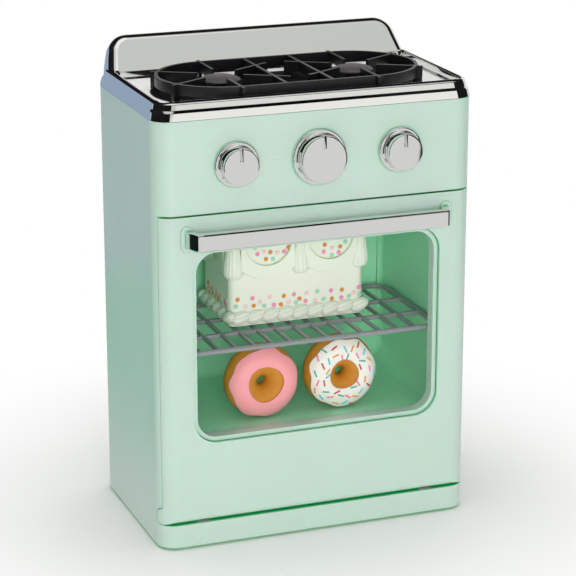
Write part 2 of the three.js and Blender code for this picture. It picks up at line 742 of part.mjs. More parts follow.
function makeHobTop() {
  const grooveBottom = hobBottom + hobBandHeight;
  const grooveTop = grooveBottom + hobGrooveHeight;
  const edgeBottom = hobRimTop - hobEdgeRadius;
  const wallAt = (level) => hobOverhang
    - (hobOverhang + hobWallLean) * ((level - hobBottom) / (edgeBottom - hobBottom));
  const outside = [
    [hobOverhang, hobBottom],
    [wallAt(grooveBottom), grooveBottom],
    [wallAt(grooveBottom) - hobGrooveDepth, grooveBottom + hobGrooveHeight / 3],
    [wallAt(grooveTop) - hobGrooveDepth, grooveTop - hobGrooveHeight / 3],
    [wallAt(grooveTop), grooveTop],
  ];
  const edgeSteps = 3;
  for (let step = 0; step <= edgeSteps; step += 1) {
    const angle = (step / edgeSteps) * Math.PI / 2;
    outside.push([-hobWallLean - hobEdgeRadius * (1 - Math.cos(angle)),
      hobRimTop - hobEdgeRadius * (1 - Math.sin(angle))]);
  }
  const body = stacked(halfWidth, front, halfDepth, cabinetCornerRadius, outside);

  const panSteps = [[panFillet / 5, hobRimTop + cutOverrun], [0, hobRimTop - panFillet / 5]];
  const panSlope = 3;
  for (let step = 1; step <= panSlope; step += 1) {
    const angle = (step / panSlope) * Math.PI / 2;
    const drop = hobRimTop - panFillet / 5 - panLevel;
    panSteps.push([-panFillet * (1 - Math.cos(angle)), panLevel + drop * (1 - Math.sin(angle))]);
  }
  const pan = stacked(panHalfWidth, panFront, panBack, panCornerRadius, panSteps.reverse());

  const spigotOuter = cabinetWall + seatGap;
  const spigot = stacked(halfWidth - spigotOuter, front + spigotOuter, halfDepth - spigotOuter,
    cabinetCornerRadius - spigotOuter, [[0, hobBottom - hobSpigotDepth], [0, hobBottom + seatGap]]);
  const spigotInner = spigotOuter + hobSkin;
  const under = stacked(halfWidth - spigotInner, front + spigotInner, halfDepth - spigotInner,
    cabinetCornerRadius - spigotInner,
    [[0, hobBottom - hobSpigotDepth - cutOverrun], [0, panLevel - hobSkin]]);
  const bossBore = ([sx, sy]) => rodUp(pilotRadius, sx * hobBossX, sy * hobBossY, tabTop,
    tabTop + hobScrewLength);

  // The screw bosses reach the skin above them: the pan in front, the backsplash behind
  const splash = makeBacksplash();
  const underPan = box(-halfWidth, halfWidth, front, halfDepth, 0, panLevel - hobSkin / 2);
  const bossSpace = splash.slab.add(underPan);
  const boss = ([sx, sy]) => rodUp(hobBossRadius, sx * hobBossX, sy * hobBossY, tabTop + seatGap,
    hobRimTop * 2, roundSteps / 2).intersect(bossSpace);
  let hob = body.subtract(pan).add(splash.slab).add(spigot).subtract(under).subtract(splash.core);
  hob = joined([hob, ...corners.map(boss)]);
  return corners.reduce((solid, corner) => solid.subtract(bossBore(corner)), hob);
}

// The backsplash leans back from the pan, is upright behind, and goes on from the tray's leaning
// sides; it has no hollows from outside, so both it and its inside are the hulls of their outlines
function makeBacksplash() {
  const lean = Math.atan2(splashLean, splashRise);
  const slant = Math.hypot(splashLean, splashRise);
  const footLevel = hobRimTop - cutOverrun;
  const onFace = (x, up, setBack) => [
    x,
    panBack + up * Math.sin(lean) + setBack * Math.cos(lean),
    footLevel + up * Math.cos(lean) - setBack * Math.sin(lean),
  ];
  const outline = (inset, setBack) => {
    const shape = new THREE.Shape();
    const base = halfWidth - splashBaseInset - inset;
    const top = halfWidth - splashTopInset - inset;
    const radius = splashCornerRadius - inset;
    const crest = slant - inset;
    shape.moveTo(-base, 0);
    shape.lineTo(base, 0);
    shape.lineTo(top, crest - radius);
    shape.absarc(top - radius, crest - radius, radius, 0, Math.PI / 2);
    shape.absarc(radius - top, crest - radius, radius, Math.PI / 2, Math.PI);
    shape.closePath();
    return shape.getPoints(cornerSteps).map((point) => onFace(point.x, point.y, setBack));
  };
  const plan = (inset) => roundedRectangle(halfWidth - hobWallLean - inset,
    halfDepth - hobWallLean - inset, cabinetCornerRadius - hobWallLean - inset);
  const reachedBack = (points) => points.map(([x, , z]) => [x, halfDepth, z]);
  const foot = (inset, level) => {
    const wide = halfWidth - splashBaseInset - inset;
    return [wide, -wide].flatMap((x) => [
      [x, panBack + inset + splashEdgeRadius, level],
      [x, halfDepth, level],
      [x - Math.sign(x) * splashEdgeRadius, panBack + inset, level],
    ]);
  };

  const rings = [];
  const ringSteps = 3;
  for (let step = 0; step <= ringSteps; step += 1) {
    const angle = (step / ringSteps) * Math.PI / 2;
    rings.push(...outline(splashEdgeRadius * (1 - Math.sin(angle)),
      splashEdgeRadius * (1 - Math.cos(angle))));
  }
  const slabLow = hobBottom + hobSkin;
  const coreLow = hobBottom - hobSpigotDepth - cutOverrun;
  const inner = outline(hobSkin, hobSkin);
  const outer = [...rings, ...reachedBack(outline(0, splashEdgeRadius)), ...foot(0, slabLow)];
  const slab = wasm.Manifold.hull(outer).intersect(prismUp(plan(0), slabLow, hobRimTop * 2));
  const core = wasm.Manifold.hull([...inner, ...reachedBack(inner), ...foot(hobSkin, coreLow)])
    .intersect(prismUp(plan(hobSkin), coreLow, hobRimTop * 2));
  return { slab, core };
}

function stadium(radius) {
  const shape = new THREE.Shape();
  shape.absarc(burnerX, burnerY, radius, -Math.PI / 2, Math.PI / 2);
  shape.absarc(-burnerX, burnerY, radius, Math.PI / 2, Math.PI * 1.5);
  shape.closePath();
  return shape;
}

function makeGrate() {
  const bottom = grateTop - grateHeight;
  const outline = (radius) => new THREE.ExtrudeGeometry(stadium(radius), {
    depth: grateHeight, bevelEnabled: false, curveSegments: roundSteps / 2,
  }).translate(0, 0, bottom);
  const hole = new THREE.ExtrudeGeometry(stadium(grateRadius - grateWall), {
    depth: grateHeight + cutOverrun * 2, bevelEnabled: false, curveSegments: roundSteps / 2,
  }).translate(0, 0, bottom - cutOverrun);
  const pieces = [solidOf(outline(grateRadius)).subtract(solidOf(hole))];
  for (const side of sides) {
    const crossX = side * (burnerX - grateRadius * grateCrossShare);
    pieces.push(box(crossX - grateWall / 2, crossX + grateWall / 2, burnerY - grateRadius + grateWall / 2,
      burnerY + grateRadius - grateWall / 2, bottom, grateTop));
    for (let arm = 0; arm < grateArms; arm += 1) {
      const angle = Math.PI / 2 + (arm / grateArms) * Math.PI * 2;
      const length = grateArmOuter - grateArmInner;
      const bar = new THREE.BoxGeometry(length, grateArmWidth, grateHeight)
        .translate(grateArmInner + length / 2, 0, bottom + grateHeight / 2);
      const footTop = bottom + grateHeight / 2;
      const footBottom = panLevel + seatGap;
      const foot = new THREE.BoxGeometry(grateFootLength, grateArmWidth, footTop - footBottom)
        .translate(grateArmOuter - grateFootLength / 2, 0, (footTop + footBottom) / 2);
      for (const piece of [bar, foot]) {
        pieces.push(solidOf(piece.rotateZ(angle).translate(side * burnerX, burnerY, 0)));
      }
    }
  }
  return joined(pieces);
}

function makeBurnerBase() {
  const bore = burnerStemRadius + seatGap;
  const hub = burnerStemRadius * 1.7;
  return turned([
    [bore, 0],
    [burnerBaseRadius, 0],
    [burnerBaseRadius * 0.9, burnerBaseHeight],
    [hub, burnerBaseHeight],
    [hub, burnerHubHeight],
    [bore, burnerHubHeight],
    [bore, 0],
  ]);
}

// The cap's level is given from the pan, like the base it plugs into
function makeBurnerCap() {
  const top = burnerCapTop - panLevel - seatGap;
  const under = top - burnerCapHeight;
  return turned([
    [0, seatGap * 2],
    [burnerStemRadius, seatGap * 2],
    [burnerStemRadius, under],
    [burnerCapRadius * 0.94, under],
    [burnerCapRadius, under + burnerCapHeight * 0.4],
    [burnerCapRadius * 0.88, under + burnerCapHeight * 0.8],
    [0, top],
  ]);
}

// Knobs, each made about its own Z axis with the panel's face at level 0

const knobs = [
  { name: 'left', x: -knobSpacing, radius: sideKnobRadius, bezel: sideBezelRadius },
  { name: 'centre', x: 0, radius: centreKnobRadius, bezel: centreBezelRadius },
  { name: 'right', x: knobSpacing, radius: sideKnobRadius, bezel: sideBezelRadius },
].map((knob) => ({ ...knob, spigotRadius: knobShaftRadius + knobShaftClearance + bezelSpigotWall }));

function makeBezel(knob) {
  const bore = knobShaftRadius + knobShaftClearance;
  const rim = knob.bezel;
  const step = knob.radius + bezelStepHeight;
  return turned([
    [bore, -cabinetWall],
    [knob.spigotRadius, -cabinetWall],
    [knob.spigotRadius, seatGap],
    [rim, seatGap],
    [rim, bezelThickness * 0.6],
    [rim - bezelStepHeight, bezelThickness],
    [step, bezelThickness],
    [step - bezelStepHeight, bezelThickness + bezelStepHeight],
    [bore, bezelThickness + bezelStepHeight],
    [bore, -cabinetWall],
  ]);
}

function makeKnob(knob) {
  const under = bezelThickness + bezelStepHeight + seatGap;
  const edge = knobEdgeRadius;
  const profile = [
    [0, -cabinetWall - seatGap / 2],
    [knobShaftRadius, -cabinetWall - seatGap / 2],
    [knobShaftRadius, under],
    [knob.radius - edge / 5, under],
    [knob.radius, under + edge / 5],
  ];
  const edgeSteps = 3;
  for (let step = 0; step <= edgeSteps; step += 1) {
    const angle = (step / edgeSteps) * Math.PI / 2;
    profile.push([knob.radius - edge * (1 - Math.cos(angle)),
      knobProjection - edge * (1 - Math.sin(angle))]);
  }
  profile.push([0, knobProjection]);
  const notch = box(-knobNotchWidth / 2, knobNotchWidth / 2,
    knob.radius - knobNotchLength, knob.radius + cutOverrun,
    knobProjection - knobNotchDepth, knobProjection + cutOverrun);
  const bore = rodUp(pilotRadius, 0, 0, -cabinetWall - cutOverrun, knobScrewLength - cabinetWall);
  return solidOf(turned(profile)).subtract(notch).subtract(bore);
}

function makeRetainer() {
  const top = -cabinetWall - seatGap;
  return turned([
    [passRadius, top - retainerThickness],
    [retainerRadius, top - retainerThickness],
    [retainerRadius, top],
    [passRadius, top],
    [passRadius, top - retainerThickness],
  ]);
}

// A pan-head screw along its own Z axis: the head stands on level 0 and the shank goes down
function makeScrew(length) {
  return turned([
    [0, -length],
    [screwShankRadius, -length + screwShankRadius],
    [screwShankRadius, 0],
    [screwHeadRadius, 0],
    [screwHeadRadius * 0.7, screwHeadHeight],
    [0, screwHeadHeight],
  ], wireSteps);
}

// Rack

function makeRack() {
  const reach = cavityHalfWidth - rackGap - rackWireRadius;
  const frontY = bayBack + rackFrontGap + rackWireRadius;
  const backY = cavityBack - rackBackGap - rackWireRadius;
  const rackPitch = (reach - rackEdgeSpace) / rackBarsEachSide;
  const path = planRing(reach, frontY, backY, rackCornerRadius, rackLevel);
  const rings = path.map((point, i) => {
    const before = path[(i + path.length - 1) % path.length];
    const after = path[(i + 1) % path.length];
    const along = after.clone().sub(before).normalize();
    const across = new THREE.Vector3(-along.y, along.x, 0);
    const ring = [];
    for (let step = 0; step < wireSteps; step += 1) {
      const angle = ((step + 0.5) / wireSteps) * Math.PI * 2;
      ring.push(point.clone()
        .addScaledVector(across, Math.cos(angle) * rackWireRadius)
        .add(new THREE.Vector3(0, 0, Math.sin(angle) * rackWireRadius)));
    }
    return ring;
  });
  const pieces = [solidOf(skinned(rings, true))];
  for (let bar = -rackBarsEachSide; bar <= rackBarsEachSide; bar += 1) {
    const barX = bar * rackPitch;
    pieces.push(box(barX - rackBarHalf, barX + rackBarHalf, frontY, backY,
      rackLevel - rackBarHalf, rackLevel + rackBarHalf));
  }
  for (const share of rackCrossShares) {
    const barY = frontY + (backY - frontY) * share;
    pieces.push(box(-reach, reach, barY - rackBarHalf, barY + rackBarHalf,
      rackLevel - rackBarHalf, rackLevel + rackBarHalf));
  }
  return joined(pieces);
}

// Cake, with a piped border round its foot and swags with tassels under its top edge

function makeCake() {
  const top = cakeBottom + cakeHeight;
  const left = cakeX - cakeHalfWidth;
  const right = cakeX + cakeHalfWidth;
  const near = cakeY - cakeHalfDepth;
  const far = cakeY + cakeHalfDepth;
  const block = prismUp(roundedRectangle(cakeHalfWidth, cakeHalfDepth, cakeCornerRadius, cakeX, cakeY),
    cakeBottom, top, cakeTopRadius);
  const pieces = [block];

  // The piped border: rings round the foot that swell out into equal shells
  const foot = roundedRectangle(cakeHalfWidth, cakeHalfDepth, cakeCornerRadius, cakeX, cakeY);
  const shells = Math.round(foot.getLength() / shellPitch);
  const pointsPerShell = 3;
  const places = foot.getSpacedPoints(shells * pointsPerShell).slice(0, -1);
  const swell = [[0.5, 0], [1, 0.3], [0.85, 0.65], [-0.6, 1]];
  const rings = swell.map(([swellShare, heightShare]) => places.map((point, i) => {
    const before = places[(i + places.length - 1) % places.length];
    const after = places[(i + 1) % places.length];
    const along = after.clone().sub(before).normalize();
    const lobe = 0.45 + 0.55 * Math.abs(Math.sin((i / pointsPerShell) * Math.PI));
    const reach = shellProud * swellShare * (swellShare > 0 ? lobe : 1);
    return new THREE.Vector3(point.x + along.y * reach, point.y - along.x * reach,
      cakeBottom + shellHeight * heightShare);
  }));
  pieces.push(solidOf(skinned(rings, false)));

  // A swag hangs between two tassels, with a round lower edge and a smaller round upper edge
  const swag = (from, to) => {
    const shape = new THREE.Shape();
    const middle = (from + to) / 2;
    const half = (to - from) / 2;
    const lip = top - cakeTopRadius;
    const lowest = top - swagDrop;
    const lowerCentre = lowest + swagLowerRadius;
    const lowerTurn = Math.asin(half / swagLowerRadius);
    const upperRadius = Math.min(swagUpperRadius, half * 0.8);
    const upperCentre = lowest + swagThickness + upperRadius;
    shape.moveTo(from, lip);
    shape.absarc(middle, lowerCentre, swagLowerRadius, -Math.PI / 2 - lowerTurn, -Math.PI / 2 + lowerTurn);
    shape.lineTo(to, lip);
    shape.lineTo(middle + upperRadius, lip);
    shape.absarc(middle, upperCentre, upperRadius, 0, -Math.PI, true);
    shape.lineTo(middle - upperRadius, lip);
    shape.closePath();
    return shape;
  };
  for (const [from, to] of [[left, cakeX], [cakeX, right]]) {
    pieces.push(prismBack(swag(from, to), near - swagProud, far + swagProud));
  }
  pieces.push(prismAcross(swag(near, far), left - swagProud, right + swagProud));

  const tasselLow = top - tasselDrop;
  const tassel = (x, y) => solidOf(turned([
    [0, tasselLow],
    [tasselRadius * 0.6, tasselLow + tasselRadius * 0.15],
    [tasselRadius, tasselLow + tasselRadius * 0.7],
    [tasselRadius * 0.9, top - tasselRadius],
    [tasselRadius * 0.5, top - cakeTopRadius / 2],
    [0, top - cakeTopRadius / 2],
  ], screwSteps).rotateZ(Math.PI / screwSteps).translate(x, y, 0));
  const inset = tasselRadius - tasselProud;
  for (const x of [left + inset, cakeX, right - inset]) {
    pieces.push(tassel(x, near + inset), tassel(x, far - inset));
  }
  return joined(pieces);
}

// Doughnuts, each made about its own Z axis with the iced side up

const doughCentre = (doughnutRadius + doughnutHoleRadius) / 2;
const doughReach = (doughnutRadius - doughnutHoleRadius) / 2;

function makeDough() {
  const points = [];
  const steps = 12;
  for (let step = 0; step <= steps; step += 1) {
    const angle = (step / steps) * Math.PI * 2;
    points.push([doughCentre + doughReach * Math.cos(angle),
      (doughnutThickness / 2) * Math.sin(angle)]);
  }
  return turned(points, roundSteps + cornerSteps);
}

// A coat of icing over the upper half, with a wavy outer edge and a round inner edge
function makeIcing(holeRadius) {
  const turns = icingWaves * 4;
  const half = 4;
  const innerEdge = Math.acos((holeRadius - doughCentre) / doughReach);
  const outerEdge = Math.acos((icingOuterRadius - doughCentre) / doughReach);
  const rings = [];
  for (let turn = 0; turn < turns; turn += 1) {
    const around = (turn / turns) * Math.PI * 2;
    const wave = Math.sin(around * icingWaves) * 0.6 + Math.sin(around * (icingWaves - 2) + 1) * 0.4;
    const from = outerEdge + icingWaveAngle * wave;
    const ring = [];
    const point = (share, lift) => {
      const angle = from + (innerEdge - from) * share;
      const radius = doughCentre + (doughReach + lift) * Math.cos(angle);
      const height = (doughnutThickness / 2 + lift) * Math.sin(angle);
      return new THREE.Vector3(radius * Math.cos(around), radius * Math.sin(around), height);
    };
    for (let step = 0; step <= half; step += 1) {
      ring.push(point(step / half, seatGap));
    }
    for (let step = half; step >= 0; step -= 1) {
      const share = step / half;
      const fullness = Math.min(1, Math.sqrt(4 * share * (1 - share)) + 0.25);
      ring.push(point(share, seatGap + icingThickness * fullness));
    }
    rings.push(ring);
  }
  return solidOf(skinned(rings, true));
}

// Finishes as [colour, roughness, metalness]
const finishes = {
  mint: ['#bfe2d0', 0.38, 0],
  mintInside: ['#7cc79a', 0.42, 0],
  chrome: ['#c9cccc', 0.12, 1],
  black: ['#17161a', 0.5, 0],
  darkGrey: ['#4a474b', 0.45, 0],
  steel: ['#a9adb0', 0.35, 1],
  magnet: ['#3c3c40', 0.6, 0],
  rackGrey: ['#8a8d90', 0.35, 0.3],
  cream: ['#e9ecdf', 0.55, 0],
  dough: ['#c9882a', 0.55, 0],
  pinkIcing: ['#f2a3a6', 0.3, 0],
  whiteIcing: ['#efece2', 0.3, 0],
};

const oven = new THREE.Group();
oven.name = 'toy_oven';

function piece(name, geometry, finish, parent = oven) {
  const [color, roughness, metalness] = finishes[finish];
  const material = new THREE.MeshStandardMaterial({ color, roughness, metalness });
  const mesh = new THREE.Mesh(geometry, material);
  mesh.name = name;
  parent.add(mesh);
  return mesh;
}

piece('cabinet_shell', geometryOf(makeCabinetShell()), 'mint');
piece('cavity_liner', geometryOf(makeCavityLiner()), 'mintInside');
piece('rear_cover', geometryOf(makeRearCover()), 'mint');
piece('base_plate', geometryOf(makeBasePlate()), 'mint');
piece('catch_magnet', geometryOf(makeCatchMagnet()), 'magnet');
piece('hob_top', geometryOf(makeHobTop()), 'chrome');
piece('grate', geometryOf(makeGrate()), 'black');

const door = new THREE.Group();
oven.add(door);
piece('door_outer', geometryOf(makeDoorOuter()), 'mint', door);
piece('door_inner', geometryOf(makeDoorInner()), 'mint', door);
piece('door_handle', geometryOf(makeDoorHandle()), 'chrome', door);
piece('catch_plate', geometryOf(makeCatchPlate()), 'steel', door);

for (const side of sides) {
  const where = side < 0 ? 'left' : 'right';
  const base = piece(`burner_base_${where}`, makeBurnerBase(), 'steel');
  base.position.set(side * burnerX, burnerY, panLevel + seatGap);
  const cap = piece(`burner_cap_${where}`, makeBurnerCap(), 'darkGrey');
  cap.position.copy(base.position);
  const pin = new THREE.CylinderGeometry(hingePinRadius, hingePinRadius, hingePinLength, roundSteps);
  const pinMesh = piece(`hinge_pin_${where}`, pin, 'steel', door);
  pinMesh.rotation.z = Math.PI / 2;
  pinMesh.position.set(side * hingeX, hingeY, doorHingeHeight);
}

for (const knob of knobs) {
  const place = new THREE.Group();
  place.position.set(knob.x, front, knobLevel);
  place.rotation.x = Math.PI / 2;
  oven.add(place);
  piece(`knob_bezel_${knob.name}`, makeBezel(knob), 'chrome', place);
  piece(`knob_${knob.name}`, geometryOf(makeKnob(knob)), 'chrome', place);
  piece(`knob_retainer_${knob.name}`, makeRetainer(), 'darkGrey', place);
  const screw = piece(`knob_screw_${knob.name}`, makeScrew(knobScrewLength), 'steel', place);
  screw.rotation.x = Math.PI;
  screw.position.z = -cabinetWall - seatGap * 2 - retainerThickness;
}

// Screws stand with their head on a seat and point along a direction
const screwDown = new THREE.Vector3(0, 0, -1);

function screw(name, length, x, y, z, direction, parent = oven) {
  const mesh = piece(name, makeScrew(length), 'steel', parent);
  mesh.quaternion.setFromUnitVectors(screwDown, direction);
  mesh.position.set(x, y, z);
}

const up = new THREE.Vector3(0, 0, 1);
const forwards = new THREE.Vector3(0, -1, 0);

corners.forEach(([sx, sy], i) => {
  screw(`base_screw_${i + 1}`, baseScrewLength, sx * postX, sy * postY, headPocketDepth, up);
  screw(`hob_screw_${i + 1}`, hobScrewLength, sx * hobBossX, sy * hobBossY,
    tabTop - tabThickness - seatGap, up);
});
rearScrewPlaces().forEach(([x, z], i) => {
  screw(`rear_screw_${i + 1}`, rearScrewLength, x, halfDepth - headPocketDepth + seatGap, z, forwards);
});
doorScrewPlaces().forEach(([x, z], i) => {
  screw(`door_screw_${i + 1}`, doorScrewLength, x, doorBack - headPocketDepth + seatGap, z, forwards, door);
});
for (const side of sides) {
  screw(`handle_screw_${side < 0 ? 'left' : 'right'}`, handleScrewLength, side * handleScrewX(),
    front + doorWall + seatGap, handleCentre, forwards, door);
}

piece('rack', geometryOf(makeRack()), 'rackGrey');
piece('cake', geometryOf(makeCake()), 'cream');

const treats = [
  { name: 'pink', x: -doughnutX, icing: 'pinkIcing', hole: pinkIcingHoleRadius },
  { name: 'white', x: doughnutX, icing: 'whiteIcing', hole: whiteIcingHoleRadius },
];
for (const treat of treats) {
  const place = new THREE.Group();
  place.position.set(treat.x, doughnutY, cavityFloor + seatGap + doughnutRadius);
  place.rotation.x = Math.PI / 2;
  oven.add(place);
  piece(`doughnut_${treat.name}`, makeDough(), 'dough', place);
  piece(`doughnut_icing_${treat.name}`, geometryOf(makeIcing(treat.hole)), treat.icing, place);
}

export default oven;
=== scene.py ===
# %% [markdown]
# # A toy oven, dressed in Blender
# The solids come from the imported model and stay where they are. Each visible moulding gets a smooth
# piece modelled over its solid, in the same frame: +X right, the door faces -Y, +Z up, in metres.

import math
import random

import bpy
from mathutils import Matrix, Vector


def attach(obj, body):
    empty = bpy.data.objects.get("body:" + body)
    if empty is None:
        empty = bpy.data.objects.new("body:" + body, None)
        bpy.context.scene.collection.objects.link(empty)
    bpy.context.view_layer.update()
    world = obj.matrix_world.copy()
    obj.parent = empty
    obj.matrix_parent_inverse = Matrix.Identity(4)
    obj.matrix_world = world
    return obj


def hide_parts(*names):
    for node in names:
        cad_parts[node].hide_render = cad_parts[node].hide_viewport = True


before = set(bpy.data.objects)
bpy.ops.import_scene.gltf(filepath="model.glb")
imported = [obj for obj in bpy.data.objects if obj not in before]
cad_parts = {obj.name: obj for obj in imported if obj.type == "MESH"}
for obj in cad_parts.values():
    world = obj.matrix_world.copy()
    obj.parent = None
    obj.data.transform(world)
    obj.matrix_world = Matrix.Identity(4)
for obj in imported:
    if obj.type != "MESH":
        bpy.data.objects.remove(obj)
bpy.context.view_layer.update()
print(len(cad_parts), "solids")

# %% [markdown]
# A maker of such toys works in millimetres, so every size below is written in them and turned to
# metres in one place. Several pieces share these: the body's outside, the line of the door's hinge
# with its two lugs, and where the knobs and burners sit.

# %% Shared measures
MM = 0.001
HALF_WIDTH, FRONT, BACK, CORNER = 110, -66, 66, 13
HINGE_Y, HINGE_Z, LUG_X = -60.5, 23, 80
KNOB_X, KNOB_Z = 56.3, 259.2
BURNER_X, BURNER_Y = 46.75, -8
print("body", 2 * HALF_WIDTH, "mm wide and", BACK - FRONT, "mm deep")

# %% [markdown]
# An operator acts on whatever is selected, so each step first deselects all.

# %% Work on one piece at a time
def deselect_all():
    if bpy.context.mode != "OBJECT":
        bpy.ops.object.mode_set(mode="OBJECT")
    bpy.ops.object.select_all(action="DESELECT")


def take(*pieces):
    deselect_all()
    for piece in pieces:
        piece.select_set(True)
    bpy.context.view_layer.objects.active = pieces[0]


def settle(piece):
    take(piece)
    bpy.ops.object.transform_apply(location=True, rotation=True, scale=True)
    return piece


def place(piece, where, turn=(0, 0, 0)):
    piece.rotation_euler = [math.radians(angle) for angle in turn]
    piece.location = Vector(where) * MM
    return settle(piece)


def duplicate(piece, where=(0, 0, 0), turn=(0, 0, 0)):
    twin = piece.copy()
    twin.data = piece.data.copy()
    bpy.context.scene.collection.objects.link(twin)
    return place(twin, where, turn)


# %% [markdown]
# Most mouldings of this oven are boxes with generously rounded corners. A box is added at its place,
# then chosen edges are bevelled. Edges are chosen by where their two ends lie, in millimetres.

# %% Blocks and rounded edges
def block(name, low, high):
    deselect_all()
    low, high = Vector(low) * MM, Vector(high) * MM
    bpy.ops.mesh.primitive_cube_add(size=1, location=(low + high) / 2, scale=high - low)
    piece = bpy.context.active_object
    piece.name = name
    return settle(piece)


def choose(piece, kind, wanted):
    take(piece)
    bpy.ops.object.mode_set(mode="EDIT")
    bpy.ops.mesh.select_mode(type=kind)
    bpy.ops.mesh.select_all(action="DESELECT")
    bpy.ops.object.mode_set(mode="OBJECT")
    mesh = piece.data
    if kind == "EDGE":
        for edge in mesh.edges:
            start, end = (mesh.vertices[i].co / MM for i in edge.vertices)
            edge.select = bool(wanted(start, end))
    elif kind == "FACE":
        for face in mesh.polygons:
            face.select = bool(wanted(face.center / MM, face.normal))
    else:
        for corner in mesh.vertices:
            corner.select = bool(wanted(corner.co / MM))
    bpy.ops.object.mode_set(mode="EDIT")


def move_corners(piece, wanted, by):
    choose(piece, "VERT", wanted)
    bpy.ops.transform.translate(value=[part * MM for part in by])
    bpy.ops.object.mode_set(mode="OBJECT")


def round_edges(piece, wanted, radius, steps):
    choose(piece, "EDGE", wanted)
    bpy.ops.mesh.bevel(offset=radius * MM, segments=steps, affect="EDGES", clamp_overlap=False)
    bpy.ops.object.mode_set(mode="OBJECT")
    return piece


def along(axis):
    return lambda start, end: abs((end - start).normalized()[axis]) > 0.999


def at_level(axis, level):
    return lambda start, end: abs(start[axis] - level) < 0.01 and abs(end[axis] - level) < 0.01


def rounded_block(name, low, high, axis, radius, steps=12):
    return round_edges(block(name, low, high), along(axis), radius, steps)


# %% [markdown]
# Round pieces are built up from a disc: it is extruded and resized step by step, as a turner would
# read a profile from the foot upwards. A rod is the same thing laid along another axis.

# %% Turned pieces and rods
def turned(name, profile, steps=64):
    deselect_all()
    radius, level = profile[0]
    bpy.ops.mesh.primitive_circle_add(vertices=steps, radius=radius * MM, fill_type="NGON",
                                      location=(0, 0, level * MM))
    piece = bpy.context.active_object
    piece.name = name
    settle(piece)
    bpy.ops.object.mode_set(mode="EDIT")
    for next_radius, next_level in profile[1:]:
        rise = (0, 0, (next_level - level) * MM)
        bpy.ops.mesh.extrude_region_move(TRANSFORM_OT_translate={"value": rise})
        ratio = next_radius / radius
        bpy.ops.transform.resize(value=(ratio, ratio, 1), center_override=(0, 0, 0))
        radius, level = next_radius, next_level
    bpy.ops.mesh.select_all(action="SELECT")
    bpy.ops.mesh.normals_make_consistent(inside=False)
    bpy.ops.object.mode_set(mode="OBJECT")
    return piece


def rod(name, radius, start, end, steps=32):
    start, end = Vector(start), Vector(end)
    piece = turned(name, [(radius, 0), (radius, (end - start).length)], steps)
    piece.rotation_mode = "QUATERNION"
    piece.rotation_quaternion = (end - start).to_track_quat("Z", "Y")
    piece.location = start * MM
    settle(piece)
    piece.rotation_mode = "XYZ"
    return piece


# %% [markdown]
# Mouldings are joined and cut with Boolean modifiers, and pieces that only touch are merged into one
# object. At the end every sharp edge gets the small radius that a mould tool leaves, which catches
# the light, and weighted normals keep the flat faces flat.

# %% Cutting, joining and softening
def add_modifier(piece, kind, **settings):
    take(piece)
    bpy.ops.object.modifier_add(type=kind)
    modifier = piece.modifiers[-1]
    for key, value in settings.items():
        setattr(modifier, key, value)
    bpy.ops.object.modifier_apply(modifier=modifier.name)
    return piece


def combine(piece, tool, operation):
    add_modifier(piece, "BOOLEAN", object=tool, operation=operation, solver="EXACT")
    bpy.data.objects.remove(tool)
    return piece


def cut(piece, *tools):
    for tool in tools:
        combine(piece, tool, "DIFFERENCE")
    return piece


def fuse(piece, *tools):
    for tool in tools:
        combine(piece, tool, "UNION")
    return piece


def gather(name, pieces):
    take(*pieces)
    if len(pieces) > 1:
        bpy.ops.object.join()
    pieces[0].name = name
    return pieces[0]


def smooth(piece, below=40):
    take(piece)
    bpy.ops.object.shade_smooth_by_angle(angle=math.radians(below))
    return add_modifier(piece, "WEIGHTED_NORMAL", keep_sharp=True)


def soften(piece, radius, steps=3, sharper_than=30):
    add_modifier(piece, "BEVEL", width=radius * MM, segments=steps, limit_method="ANGLE",
                 angle_limit=math.radians(sharper_than))
    return smooth(piece)


def walls_of(piece, thickness):
    choose(piece, "FACE", lambda centre, normal: abs(normal.z) > 0.9)
    bpy.ops.mesh.delete(type="FACE")
    bpy.ops.object.mode_set(mode="OBJECT")
    return add_modifier(piece, "SOLIDIFY", thickness=thickness * MM, offset=-1)


def slice_off(point, normal, **side):
    bpy.ops.mesh.select_all(action="SELECT")
    bpy.ops.mesh.bisect(plane_co=point, plane_no=normal, use_fill=True, **side)


# %% [markdown]
# ## Materials
# Each finish is named for the real material and for how its surface was made. Colours are written as
# the sRGB hex values that a colour chart gives, and one function turns them into linear light.

# %% Colours and nodes
def colour(code):
    parts = [int(code[i:i + 2], 16) / 255 for i in (1, 3, 5)]
    linear = [part / 12.92 if part <= 0.04045 else ((part + 0.055) / 1.055) ** 2.4 for part in parts]
    return (*linear, 1.0)


def add_node(tree, kind, settings=()):
    node = tree.nodes.new(kind)
    for key, value in dict(settings).items():
        if isinstance(value, bpy.types.NodeSocket):
            tree.links.new(value, node.inputs[key])
        elif isinstance(key, str) and hasattr(node, key):
            setattr(node, key, value)
        else:
            node.inputs[key].default_value = value
    return node


def new_material(name, values):
    material = bpy.data.materials.new(name)
    material.use_nodes = True
    shader = material.node_tree.nodes["Principled BSDF"]
    for key, value in values.items():
        shader.inputs[key].default_value = value
    return material, material.node_tree, shader


# %% [markdown]
# Some nodes come again and again: the place on the object, a sum, a ramp from one value to another,
# a mix of two colours, and a bump from noise. Each gets a function; most return the result's socket.

# %% Common nodes
def place_on(tree):
    return add_node(tree, "ShaderNodeTexCoord").outputs["Object"]


def axes(tree, vector):
    return add_node(tree, "ShaderNodeSeparateXYZ", {"Vector": vector}).outputs


def maths(tree, operation, *values):
    settings = {"operation": operation, **dict(enumerate(values))}
    return add_node(tree, "ShaderNodeMath", settings).outputs[0]


def ramp(tree, value, start, end, first=0, last=1):
    settings = {"Value": value, "From Min": start, "From Max": end, "To Min": first, "To Max": last}
    return add_node(tree, "ShaderNodeMapRange", settings).outputs["Result"]


